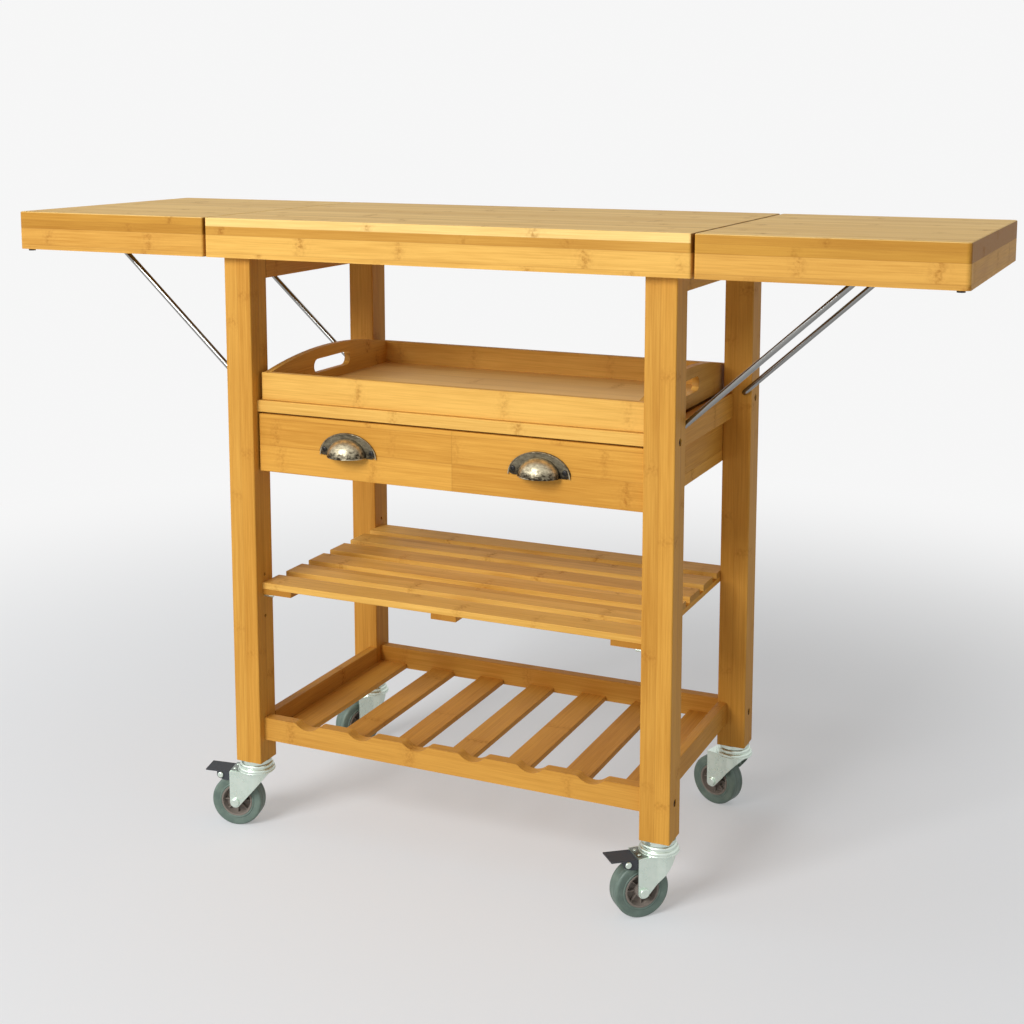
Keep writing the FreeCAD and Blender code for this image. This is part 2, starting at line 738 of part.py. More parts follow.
def make_tray():
    half_length = s.tray_length / 2
    half_width = s.tray_depth / 2
    inner_x = half_length - s.tray_wall
    inner_y = half_width - s.tray_wall
    low = s.tray_deck_height + s.running_gap
    high = low + s.tray_wall_height
    floor = box("tray_floor_board", both(inner_x), both(inner_y), (low, low + s.tray_floor_thickness))
    walls = [bamboo("tray_%s_wall" % end, both(half_length), sided(sign, inner_y, half_width),
                    (low, high), "x") for end, sign in (("front", -1), ("back", 1))]
    arch_radius = (inner_y * inner_y + s.tray_arch_rise * s.tray_arch_rise) / (s.tray_arch_rise * 2)
    ends = []
    for side, sign in SIDES:
        arch = [(-inner_y, low), (inner_y, low), (inner_y, high, arch_radius, 1), (-inner_y, high)]
        across = sided(sign, inner_x, half_length)
        blank = prism("tray_%s_end_blank" % side, "YZ", arch, across)
        middle = low + s.hand_hole_lift
        half_hole = s.hand_hole_height / 2
        half_straight = s.hand_hole_length / 2 - half_hole
        tip = half_straight + half_hole
        hole = [(-half_straight, middle - half_hole), (half_straight, middle - half_hole, half_hole, 1),
                (tip, middle, half_hole, 1), (half_straight, middle + half_hole),
                (-half_straight, middle + half_hole, half_hole, 1), (-tip, middle, half_hole, 1)]
        opening = prism("tray_%s_hand_hole" % side, "YZ", hole, across)
        ends.append(cut("tray_%s_end" % side, blank, [opening]))
    return [group("tray_floor", [floor]), group("tray_long_walls", walls), group("tray_end_walls", ends)]


# ---------------------------------------------------------------- middle shelf

def make_shelf():
    half = s.shelf_depth / 2
    slat_low = s.shelf_height - s.shelf_slat_thickness
    count = int(SIZES["shelf_slat_count"])
    pitch = (s.shelf_depth - s.shelf_slat_width) / (s.shelf_slat_count - 1)
    slats = []
    for step in range(count):
        front = -half + pitch * step
        slats.append(bamboo("shelf_slat%d" % step, both(leg_inner_x), (front, front + s.shelf_slat_width),
                            (slat_low, s.shelf_height), "x"))
    spans = [sided(-1, leg_inner_x - s.end_batten_width, leg_inner_x), both(s.middle_batten_width / 2),
             sided(1, leg_inner_x - s.end_batten_width, leg_inner_x)]
    battens = [box("shelf_batten%d" % step, span, both(half), (shelf_bottom, slat_low))
               for step, span in enumerate(spans)]
    pin_end = leg_inner_x + s.shelf_pin_depth
    pins = [rod("shelf_pin_" + corner, "x", s.shelf_pin_radius,
                sided(sign_x, pin_end - s.shelf_pin_length, pin_end), leg_middle_y * sign_y, shelf_pin_height)
            for corner, sign_x, sign_y in CORNERS]
    return [group("shelf_slats", slats), group("shelf_battens", battens), group("shelf_pins", pins)]


# ---------------------------------------------------------------- wine rack

def slat_middle(step):
    return s.rack_slat_pitch * step - s.rack_slat_pitch * (s.rack_slat_count - 1) / 2


def make_rack():
    count = int(SIZES["rack_slat_count"])
    height = (rack_bottom, s.rack_top_height)
    blank = prism("rack_front_blank", "XY",
                  rectangle(both(leg_inner_x), sided(-1, strip_inner_y, strip_outer_y)), height)
    dips = [rod("rack_dip%d" % step, "y", s.dip_radius, sided(-1, strip_inner_y, strip_outer_y),
                slat_middle(step) + s.rack_slat_pitch / 2,
                s.rack_top_height - s.dip_depth + s.dip_radius) for step in range(count - 1)]
    holes = [rod("rack_front_%s_hole" % side, "x", s.bolt_radius,
                 sided(sign, leg_inner_x - s.bolt_grip, leg_inner_x), -strip_middle_y, bolt_levels[1])
             for side, sign in SIDES]
    scalloped = cut("rack_front_scalloped", blank, dips + holes)
    doc.recompute()
    front = solid("Fillet", "rack_front_rail")
    front.Base = scalloped
    lip = along("y", z=[s.rack_top_height])
    wave_ends = [leg_inner_x, -leg_inner_x]
    front.Edges = [(index + 1, float(s.dip_lip_radius), float(s.dip_lip_radius))
                   for index, edge in enumerate(scalloped.Shape.Edges)
                   if lip(edge) and not any(near(edge.BoundBox.XMin, end) for end in wave_ends)]
    back = bolted_bar("rack_back_rail", 1, height, bolt_levels[1], [(along("x"), s.easing)])
    slats = []
    for step in range(count):
        middle = slat_middle(step)
        low_x = -leg_inner_x if step == 0 else middle - s.rack_slat_width / 2
        high_x = leg_inner_x if step == count - 1 else middle + s.rack_slat_width / 2
        slats.append(bamboo("rack_slat%d" % step, (low_x, high_x), both(strip_inner_y),
                            (rack_bottom, rack_bottom + s.rack_slat_thickness), "y"))
    return [front, back, make_side_rails("rack_side_rails", height), group("rack_slats", slats)]


# ---------------------------------------------------------------- bails and their catches

def bent_rod(points, radii, thickness):
    """A round rod along straight runs joined by tangent arcs."""
    runs = []
    start = points[0]
    for index in range(1, len(points) - 1):
        corner = points[index]
        back = (points[index - 1] - corner).normalize()
        on = (points[index + 1] - corner).normalize()
        half_angle = back.getAngle(on) / 2
        reach = radii[index - 1] / math.tan(half_angle)
        middle_way = (back + on).normalize()
        centre = corner + middle_way * (radii[index - 1] / math.sin(half_angle))
        entry = corner + back * reach
        leave = corner + on * reach
        crown = centre - middle_way * radii[index - 1]
        if (entry - start).Length > 1e-6:
            runs.append(Part.LineSegment(start, entry).toShape())
        runs.append(Part.Arc(entry, crown, leave).toShape())
        start = leave
    runs.append(Part.LineSegment(start, points[-1]).toShape())
    path = Part.Wire(runs)
    way = (points[1] - points[0]).normalize()
    section = Part.Wire([Part.Circle(points[0], way, thickness).toShape()])
    return path.makePipeShell([section], True, False)


def make_bail(side, sign):
    x = float(bail_pivot_x) * sign
    z = float(s.bail_pivot_height)
    far_x = x + float(s.bail_reach) * sign
    far_z = z + float(s.bail_rise)
    thickness = float(s.bail_rod_radius)
    bend = float(s.bail_leg_gap) + thickness
    arm_y = float(leg_inner_y) - bend
    pin_y = float(bail_pin_end)
    points = [Vector(x, -pin_y, z), Vector(x, -arm_y, z), Vector(far_x, -arm_y, far_z),
              Vector(far_x, arm_y, far_z), Vector(x, arm_y, z), Vector(x, pin_y, z)]
    corner = float(s.bail_corner_radius)
    return shaped(side + "_bail", bent_rod(points, [bend, corner, corner, bend], thickness))


def bail_ratio():
    """Degrees that a bail turns for each degree of its leaf, from propped to hanging down."""
    return (90 + math.degrees(math.atan2(float(s.bail_rise), float(s.bail_reach)))) / 90


def make_catch(side, sign):
    """A cleat under the leaf; its notch holds the crossbar, and its far side clears the bar's way out."""
    bar_x = float(bail_pivot_x + s.bail_reach)
    bar_z = float(s.bail_pivot_height + s.bail_rise)
    room = float(s.bail_rod_radius + s.running_gap)
    half_width = float(s.catch_width) / 2
    half_length = float(s.catch_length) / 2
    from_hinge_x = bar_x - float(seam_middle)
    from_hinge_z = bar_z - float(apron_bottom - s.hinge_drop)
    ratio = bail_ratio()
    outwards = ratio * float(s.bail_rise) - from_hinge_z
    downwards = ratio * float(s.bail_reach) - from_hinge_x
    slope = downwards / outwards
    ramp_start = room * math.hypot(1, slope)
    block = Part.makeBox(2 * half_width, 2 * half_length, float(board_bottom) - bar_z - float(s.catch_hook),
                         Vector(bar_x - half_width, -half_length, bar_z + float(s.catch_hook)))
    reach = 2 * half_width
    ramp = [Vector(bar_x, -half_length, bar_z + ramp_start),
            Vector(bar_x + reach, -half_length, bar_z + ramp_start - slope * reach),
            Vector(bar_x + reach, -half_length, bar_z - reach),
            Vector(bar_x, -half_length, bar_z - reach)]
    ramp_cut = Part.Face(Part.makePolygon(ramp + ramp[:1])).extrude(Vector(0, 2 * half_length, 0))
    groove = Part.makeCylinder(room, 2 * half_length, Vector(bar_x, -half_length, bar_z), Vector(0, 1, 0))
    shape = block.cut(groove.fuse(ramp_cut)).removeSplitter()
    if sign < 0:
        shape = shape.mirror(Vector(), Vector(1, 0, 0))
    return shaped(side + "_bail_catch", shape)


# ---------------------------------------------------------------- leaf hinges

hinge_axis_height = apron_bottom - s.hinge_drop
knuckle_clear = s.hinge_knuckle_radius + s.running_gap
HINGE_ENDS = (("front", -1), ("back", 1))


def hinge_screw_places(sign, inboard, end_sign):
    """X and Y of the two screws of one plate."""
    reach = s.hinge_plate_width - s.hinge_screw_inset
    x = (seam_middle - reach if inboard else seam_middle + reach) * sign
    return [(x, s.hinge_offset * end_sign + s.hinge_screw_pitch / 2 * step) for step in (-1, 1)]


def hinge_screw_holes(name, sign, inboard):
    """Holes in the wood over both hinges of one side, as deep as their screws reach."""
    depth = (apron_bottom, apron_bottom - s.hinge_plate_thickness + s.hinge_screw_length)
    return [rod("%s_%s_screw_hole%d" % (name, end, count), "z", s.hinge_screw_radius, depth, x, y)
            for end, end_sign in HINGE_ENDS
            for count, (x, y) in enumerate(hinge_screw_places(sign, inboard, end_sign))]


def hinge_plate(name, sign, inboard, end_sign):
    """One plate with its knuckles; the frame's has two at the ends, the leaf's one in the middle."""
    middle = s.hinge_offset * end_sign
    half = s.hinge_length / 2
    inner_half = s.hinge_knuckle_length / 2
    if inboard:
        plate_x = sided(sign, seam_middle - s.hinge_plate_width, seam_middle - knuckle_clear)
        tab_x = sided(sign, seam_middle - knuckle_clear, seam_middle)
        start = inner_half + s.running_gap
        knuckles = [(middle - half, middle - start), (middle + start, middle + half)]
    else:
        plate_x = sided(sign, seam_middle + knuckle_clear, seam_middle + s.hinge_plate_width)
        tab_x = sided(sign, seam_middle, seam_middle + knuckle_clear)
        knuckles = [(middle - inner_half, middle + inner_half)]
    height = (apron_bottom - s.hinge_plate_thickness, apron_bottom)
    pieces = [box(name + "_plate", plate_x, (middle - half, middle + half), height)]
    bores = []
    for count, span in enumerate(knuckles):
        pieces.append(rod("%s_knuckle%d" % (name, count), "y", s.hinge_knuckle_radius, span,
                          seam_middle * sign, hinge_axis_height))
        pieces.append(box("%s_tab%d" % (name, count), tab_x, span, height))
        bores.append(rod("%s_bore%d" % (name, count), "y", s.hinge_pin_radius + s.pivot_gap, span,
                         seam_middle * sign, hinge_axis_height))
    for count, (x, y) in enumerate(hinge_screw_places(sign, inboard, end_sign)):
        bores.append(rod("%s_screw_hole%d" % (name, count), "z", s.hinge_screw_radius, height, x, y))
    return cut(name, fuse(name + "_blank", pieces), bores)


def hinge_screws(name, sign, inboard, end_sign):
    low = apron_bottom - s.hinge_plate_thickness
    screws = []
    for count, (x, y) in enumerate(hinge_screw_places(sign, inboard, end_sign)):
        shank = rod("%s_shank%d" % (name, count), "z", s.hinge_screw_radius,
                    (low, low + s.hinge_screw_length), x, y)
        head = rod("%s_head%d" % (name, count), "z", s.hinge_screw_head_radius,
                   (low - s.hinge_screw_head_height, low), x, y)
        screws.append(fuse("%s%d" % (name, count), [shank, head]))
    return screws


def make_hinges():
    frame_plates = []
    frame_screws = []
    leaf_groups = []
    for side, sign in SIDES:
        leaf_plates = []
        leaf_screws = []
        for end, end_sign in HINGE_ENDS:
            name = "%s_%s_hinge" % (side, end)
            middle = s.hinge_offset * end_sign
            frame_plates.append(hinge_plate(name + "_frame", sign, True, end_sign))
            frame_plates.append(rod(name + "_pin", "y", s.hinge_pin_radius,
                                    (middle - s.hinge_length / 2, middle + s.hinge_length / 2),
                                    seam_middle * sign, hinge_axis_height))
            leaf_plates.append(hinge_plate(name + "_leaf", sign, False, end_sign))
            frame_screws += hinge_screws(name + "_frame_screw", sign, True, end_sign)
            leaf_screws += hinge_screws(name + "_leaf_screw", sign, False, end_sign)
        leaf_groups.append(group(side + "_hinge_plates", leaf_plates))
        leaf_groups.append(group(side + "_hinge_screws", leaf_screws))
    frame_groups = [group("hinge_frame_plates", frame_plates), group("hinge_frame_screws", frame_screws)]
    return frame_groups + leaf_groups


# ---------------------------------------------------------------- casters

def stem_place(sign_x, sign_y):
    return leg_middle_x * sign_x, leg_middle_y * sign_y


def turned_place(corner, sign_x, sign_y):
    """Where a caster's swivel axis stands, and how far the caster has turned about it."""
    x, y = stem_place(sign_x, sign_y)
    turn = float(sheet.get(corner + "_turn"))
    return Placement(Vector(float(x), float(y + s.middle_back), 0), Rotation(Vector(0, 0, 1), turn))


def make_caster_mounts():
    """Stem, top disc and king pin of every caster, fixed in the legs."""
    disc_low = s.fork_top_height + s.raceway_height + s.raceway_cap_height + s.running_gap
    head_high = s.fork_top_height - s.fork_wall - s.running_gap
    mounts = []
    for corner, sign_x, sign_y in CORNERS:
        x, y = stem_place(sign_x, sign_y)
        name = "mount_" + corner
        parts = [rod(name + "_disc", "z", s.mount_radius, (disc_low, s.caster_height), x, y),
                 rod(name + "_stem", "z", s.kingpin_radius,
                     (s.caster_height, s.caster_height + s.stem_length), x, y),
                 rod(name + "_kingpin", "z", s.kingpin_radius, (head_high, disc_low), x, y),
                 rod(name + "_head", "z", s.kingpin_head_radius,
                     (head_high - s.kingpin_head_height, head_high), x, y)]
        mounts.append(fuse(name, parts))
    return group("caster_mounts", mounts)


# A caster is drawn with its swivel axis on Z and its wheel trailing towards -X.

axle_x = -s.caster_offset
fork_tail = axle_x - s.fork_end_radius
fork_underside = s.fork_top_height - s.fork_wall


def across_bar(radius, half_length, x, z):
    return Part.makeCylinder(float(radius), 2 * float(half_length),
                             Vector(float(x), -float(half_length), float(z)), Vector(0, 1, 0))


def across_plate(outline, low_y, thickness):
    """A plate square to the axle from an outline of edges in the plane of X and Z."""
    face = Part.Face(Part.Wire(outline))
    face.translate(Vector(0, float(low_y), 0))
    return face.extrude(Vector(0, float(thickness), 0))


def line(start, end):
    return Part.LineSegment(start, end).toShape()


def loop(points):
    return [line(start, end) for start, end in zip(points, points[1:] + points[:1])]


def at(x, z):
    return Vector(float(x), 0, float(z))


def headed_bar(radius, half_grip, head_radius, head_height, x, z):
    """A bar across the fork with a domed head at each end."""
    pieces = [across_bar(radius, half_grip, x, z)]
    height = float(head_height)
    for way in (-1, 1):
        base = Vector(float(x), way * float(half_grip), float(z))
        head = Part.makeCylinder(float(head_radius), height, base, Vector(0, way, 0))
        rim = [edge for edge in head.Edges
               if edge.isClosed() and near(edge.CenterOfMass.y, base.y + way * height)]
        pieces.append(head.makeFillet(height / 2, rim))
    return pieces[0].multiFuse(pieces[1:]).removeSplitter()


def fork_outline(inset):
    """Plan of the fork: two straight cheeks that flare into a round cup about the swivel axis."""
    half = float(s.fork_half_width) - inset
    cup = float(s.fork_cup_radius) - inset
    near_side = [Vector(float(fork_tail), half, 0), Vector(-float(s.fork_cup_start), half, 0),
                 Vector(0, cup, 0)]
    far_side = [Vector(point.x, -point.y, 0) for point in reversed(near_side)]
    edges = [line(near_side[0], near_side[1]), line(near_side[1], near_side[2]),
             Part.Arc(near_side[2], Vector(cup, 0, 0), far_side[0]).toShape(),
             line(far_side[0], far_side[1]), line(far_side[1], far_side[2]),
             line(far_side[2], near_side[0])]
    return Part.Face(Part.Wire(edges))


def fork_profile():
    """Side view of the fork, as a thick plate: upright behind, slanting down to the axle in front."""
    axle = at(axle_x, s.wheel_radius)
    end = float(s.fork_end_radius)
    nose = at(s.fork_cup_radius, s.fork_nose_height)
    way = nose - axle
    lean = math.atan2(way.z, way.x) - math.asin(end / way.Length)
    touch = axle + at(math.sin(lean), -math.cos(lean)) * end
    half_turn = math.pi / 4 - lean / 2
    low = axle - at(math.sin(half_turn), math.cos(half_turn)) * end
    back = at(fork_tail, s.wheel_radius)
    outline = [line(at(nose.x, s.fork_top_height), at(fork_tail, s.fork_top_height)),
               line(at(fork_tail, s.fork_top_height), back), Part.Arc(back, low, touch).toShape(),
               line(touch, nose), line(nose, at(nose.x, s.fork_top_height))]
    return across_plate(outline, -s.fork_cup_radius, s.fork_cup_radius * 2)


def make_raceway():
    """Two rounded rings on the fork that hold the swivel's balls."""
    lower = Part.makeCylinder(float(s.raceway_radius), float(s.raceway_height), at(0, s.fork_top_height))
    upper = Part.makeCylinder(float(s.raceway_cap_radius), float(s.raceway_cap_height),
                              at(0, s.fork_top_height + s.raceway_height))
    rings = []
    for ring in (lower, upper):
        rims = [edge for edge in ring.Edges
                if edge.isClosed() and near(edge.CenterOfMass.z, ring.BoundBox.ZMax)]
        rings.append(ring.makeFillet(float(s.raceway_rounding), rims))
    return rings


def brake_lugs():
    """Two arms under the fork's tail that carry the pedal's pin."""
    pin_x = -s.brake_pin_back
    low = float(s.brake_pin_height - s.brake_lug_radius)
    high = float(s.brake_pin_height + s.brake_lug_radius)
    root_x = float(fork_tail + s.brake_lug_root)
    step_x = float(fork_tail + s.running_gap)
    pin_high = float(s.pedal_root_height - s.pedal_wall - s.running_gap * 2)
    arm_top = min(high, pin_high)
    lugs = []
    for way in (-1, 1):
        inner = float(s.brake_lug_inset) * way
        low_y = min(inner, inner + float(s.fork_wall) * way)
        outline = [at(pin_x, low), at(root_x, low), at(root_x, fork_underside), at(step_x, fork_underside),
                   at(step_x, arm_top), at(pin_x, arm_top)]
        lugs.append(across_plate(loop(outline), low_y, s.fork_wall))
        eye = at(pin_x, s.brake_pin_height) + Vector(0, low_y, 0)
        lugs.append(Part.makeCylinder(float(s.brake_lug_radius), float(s.fork_wall), eye, Vector(0, 1, 0)))
    return lugs


def make_fork(corner, sign_x, sign_y):
    """Formed fork with its raceway, and its axle and brake pin as solids of their own."""
    wall = float(s.fork_wall)
    braked = sign_y < 0
    half_inside = float(s.fork_half_width) - wall
    shell = fork_outline(0).extrude(at(0, s.fork_top_height))
    tail_opening = Part.makeBox(2 * wall, 2 * half_inside, float(fork_underside),
                                Vector(float(fork_tail) - wall, -half_inside, 0))
    shell = shell.cut(fork_outline(wall).extrude(at(0, fork_underside)).fuse(tail_opening))
    pieces = [shell.common(fork_profile())] + make_raceway()
    if braked:
        pieces += brake_lugs()
    holes = [Part.makeCylinder(float(s.kingpin_radius + s.pivot_gap), float(s.caster_height)),
             across_bar(s.axle_radius, s.fork_cup_radius, axle_x, s.wheel_radius)]
    if braked:
        holes.append(across_bar(s.brake_pin_radius, s.fork_cup_radius, -s.brake_pin_back,
                                s.brake_pin_height))
    fork = pieces[0].multiFuse(pieces[1:]).cut(holes[0].multiFuse(holes[1:])).removeSplitter()
    solids = [fork, headed_bar(s.axle_radius, s.fork_half_width, s.axle_head_radius, s.axle_head_height,
                               axle_x, s.wheel_radius)]
    if braked:
        solids.append(headed_bar(s.brake_pin_radius, s.pedal_half_width + s.running_gap,
                                 s.brake_pin_head_radius, s.brake_pin_head_height,
                                 -s.brake_pin_back, s.brake_pin_height))
    return shaped("caster_fork_" + corner, Part.makeCompound(solids), turned_place(corner, sign_x, sign_y))


def turned_body(half_profile):
    """A solid of revolution about the axle from radius and width pairs, mirrored across its middle."""
    axle = at(axle_x, s.wheel_radius)
    right = [Vector(axle.x, float(width), axle.z + float(radius)) for radius, width in half_profile]
    left = [Vector(point.x, -point.y, point.z) for point in reversed(right)]
    return Part.Face(Part.Wire(loop(right + left))).revolve(axle, Vector(0, 1, 0), 360)


def make_tyre(corner, sign_x, sign_y):
    half = s.wheel_width / 2
    ring = turned_body([(s.tyre_bore_radius, half), (s.wheel_radius, half)])
    shoulders = [edge for edge in ring.Edges if edge.isClosed() and near(edge.Curve.Radius, s.wheel_radius)]
    ring = ring.makeFillet(float(s.tyre_shoulder), shoulders)
    return shaped("tyre_" + corner, ring, turned_place(corner, sign_x, sign_y))


def make_hub(corner, sign_x, sign_y):
    half = s.wheel_width / 2
    web = s.hub_web_thickness / 2
    boss_half = s.hub_boss_width / 2
    rim_inner = s.tyre_bore_radius - s.hub_rim_thickness
    profile = [(s.axle_radius + s.pivot_gap, boss_half), (s.hub_boss_radius, boss_half),
               (s.hub_boss_radius, web), (rim_inner - s.hub_rim_thickness, web), (rim_inner, half),
               (s.tyre_bore_radius, half)]
    return shaped("hub_" + corner, turned_body(profile), turned_place(corner, sign_x, sign_y))


def make_pedal(corner, sign_x, sign_y):
    """Brake pedal: a tread, two skirts on the pin and a heel that turns onto the tyre."""
    wall = s.pedal_wall
    pin = at(-s.brake_pin_back, s.brake_pin_height)
    root = at(fork_tail - s.running_gap, s.pedal_root_height)
    tip = at(-s.pedal_tip_back, s.pedal_tip_height)
    down = at(0, -wall)
    half = s.pedal_half_width
    ear = float(s.pedal_ear_radius)

    def underside(x):
        return root + down + (tip - root) * ((x - root.x) / (tip.x - root.x))

    pieces = [across_plate(loop([root, tip, tip + down, root + down]), -half, half * 2)]
    skirt_back = at(root.x, s.pedal_skirt_height)
    skirt_front = at(root.x - float(s.pedal_skirt_length), s.pedal_skirt_height)
    ear_back = pin + at(-ear, 0)
    ear_low = pin + at(0, -ear)
    bulge = pin - at(1, 1).normalize() * ear
    skirt = [line(root + down, underside(ear_back.x)), line(underside(ear_back.x), ear_back),
             Part.Arc(ear_back, bulge, ear_low).toShape(), line(ear_low, skirt_front),
             line(skirt_front, skirt_back), line(skirt_back, root + down)]
    for low_y in (-half, half - wall):
        pieces.append(across_plate(skirt, low_y, wall))
    axle = at(axle_x, s.wheel_radius)
    to_axle = axle - pin
    reach = to_axle.Length - float(s.wheel_radius + s.running_gap + s.heel_radius)
    swing = Rotation(Vector(0, 1, 0), float(s.pedal_press))
    heel = pin + swing.multVec(to_axle).normalize() * reach
    collar = float(s.brake_pin_radius + wall)
    pieces.append(across_bar(collar, s.heel_half_width, pin.x, pin.z))
    pieces.append(across_bar(s.heel_radius, s.heel_half_width, heel.x, heel.z))
    side = (heel - pin).cross(Vector(0, 1, 0)).normalize() * float(s.heel_radius)
    pieces.append(across_plate(loop([pin + side, heel + side, heel - side, pin - side]),
                               -s.heel_half_width, s.heel_half_width * 2))
    pieces.append(across_plate(loop([pin + at(-collar, 0), pin + at(collar, 0), underside(pin.x + collar),
                                     underside(pin.x - collar)]), -s.heel_half_width, s.heel_half_width * 2))
    pedal = pieces[0].multiFuse(pieces[1:])
    pedal = pedal.cut(across_bar(s.brake_pin_radius + s.pivot_gap, half * 2, pin.x, pin.z)).removeSplitter()
    return shaped("brake_pedal_" + corner, pedal, turned_place(corner, sign_x, sign_y))


# ---------------------------------------------------------------- the whole island

fixed_parts = make_slab()
for side_name, side_sign in SIDES:
    fixed_parts += [make_leaf(side_name, side_sign), make_leaf_rails(side_name, side_sign),
                    make_bumpers(side_name, side_sign), make_bail(side_name, side_sign),
                    make_catch(side_name, side_sign)]
fixed_parts += make_hinges()
for corner_name, x_sign, y_sign in CORNERS:
    fixed_parts.append(make_leg(corner_name, x_sign, y_sign))
fixed_parts.append(make_side_rails("top_side_rails", (board_bottom - s.top_rail_height, board_bottom)))
fixed_parts.append(make_bolts())
fixed_parts += make_drawer_box()
fixed_parts += make_drawer()
fixed_parts += [make_pulls(), make_pull_screws()]
fixed_parts += make_tray()
fixed_parts += make_shelf()
fixed_parts += make_rack()
fixed_parts.append(make_caster_mounts())
for thing in fixed_parts:
    bind(thing, Placement__Base__y=s.middle_back)

caster_parts = []
for corner_name, x_sign, y_sign in CORNERS:
    caster_parts += [make_fork(corner_name, x_sign, y_sign), make_tyre(corner_name, x_sign, y_sign),
                     make_hub(corner_name, x_sign, y_sign)]
    if y_sign < 0:
        caster_parts.append(make_pedal(corner_name, x_sign, y_sign))
subparts = fixed_parts + caster_parts

doc.recompute()
for thing in doc.Objects:
    if "Invalid" in thing.State or "Error" in thing.State:
        raise RuntimeError("%s failed: %s" % (thing.Label, thing.State))
for thing in subparts:
    if thing.Shape.isNull() or not thing.Shape.isValid() or not thing.Shape.Solids:
        raise RuntimeError("%s has no valid solid" % thing.Label)
for thing in doc.Objects:
    if thing.TypeId == "Part::Cut" and thing.Shape.Volume >= thing.Base.Shape.Volume:
        raise RuntimeError("%s lost nothing to its cut" % thing.Label)

os.makedirs("parts", exist_ok=True)
for thing in subparts:
    path = "parts/%s.step" % thing.Label
    thing.Shape.exportStep(path)
    written = Part.Shape()
    written.read(path)
    same_volume = math.isclose(written.Volume, thing.Shape.Volume, rel_tol=WRITTEN_TOLERANCE)
    if not same_volume or len(written.Solids) != len(thing.Shape.Solids):
        raise RuntimeError("%s reads back as another solid" % thing.Label)
    bounds = thing.Shape.BoundBox
    print("%-28s %2d solids  %9.0f mm3  x %7.1f %7.1f  y %7.1f %7.1f  z %6.1f %6.1f" % (
        thing.Label, len(thing.Shape.Solids), thing.Shape.Volume,
        bounds.XMin, bounds.XMax, bounds.YMin, bounds.YMax, bounds.ZMin, bounds.ZMax))
print("%d sub-parts, bail ratio %.4f" % (len(subparts), bail_ratio()))
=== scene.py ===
import json
import math

import bmesh
import bpy
from bpy.props import FloatProperty, FloatVectorProperty, IntProperty, PointerProperty
from mathutils import Matrix, Vector


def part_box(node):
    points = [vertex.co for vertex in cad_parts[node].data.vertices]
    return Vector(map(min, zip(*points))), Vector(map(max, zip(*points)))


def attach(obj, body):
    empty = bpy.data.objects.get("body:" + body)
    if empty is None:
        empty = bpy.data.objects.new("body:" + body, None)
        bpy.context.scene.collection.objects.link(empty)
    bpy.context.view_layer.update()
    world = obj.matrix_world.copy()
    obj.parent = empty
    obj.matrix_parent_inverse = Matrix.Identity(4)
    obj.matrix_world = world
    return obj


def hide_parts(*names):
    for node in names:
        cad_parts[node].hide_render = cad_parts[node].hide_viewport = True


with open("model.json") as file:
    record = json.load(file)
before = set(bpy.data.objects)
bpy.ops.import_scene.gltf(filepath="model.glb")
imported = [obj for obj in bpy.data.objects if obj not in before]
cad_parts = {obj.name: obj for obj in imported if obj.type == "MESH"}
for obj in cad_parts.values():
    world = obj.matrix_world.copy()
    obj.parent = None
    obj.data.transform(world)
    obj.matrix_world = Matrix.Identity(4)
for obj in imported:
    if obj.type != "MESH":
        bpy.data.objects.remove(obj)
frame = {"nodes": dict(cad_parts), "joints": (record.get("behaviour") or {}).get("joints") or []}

bl_info = {
    "name": "Drop Leaf Kitchen Island",
    "version": (1, 0, 0),
    "blender": (4, 5, 0),
    "location": "View3D > Sidebar > Island",
    "description": "Finishes and fittings of a bamboo kitchen island with two drop leaves",
    "category": "Object",
}

MM = 0.001
SIDES = ("left", "right")
CORNERS = ("front_left", "front_right", "back_left", "back_right")
FRONT_CORNERS = CORNERS[:2]
UP = (0, 0, 1)
FRONT = (0, -1, 0)

TYRE_STEPS = 96                                  # segments of a full turn
HUB_STEPS = 72
RING_STEPS = 72
PULL_STEPS = 40                                  # segments of a bead round half a pull
SHOULDER_STEPS = 8                               # segments of a tyre's rounded shoulder
BEAD_SIDES = 12
DOME_RINGS = 12
CREASE = math.radians(35)                        # edges bent more than this stay sharp

board_low, board_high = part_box("centre_top_board")
drawer_low, drawer_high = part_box("drawer_front")
pull_low, pull_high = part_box("cup_pulls")
screw_low, screw_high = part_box("pull_screws")
apron_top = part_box("centre_top_aprons")[1].z
top_middle_y = (board_low.y + board_high.y) / 2
half_between_long_rails = top_middle_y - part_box("leg_front_right")[0].y


# ---------------------------------------------------------------- shader maths

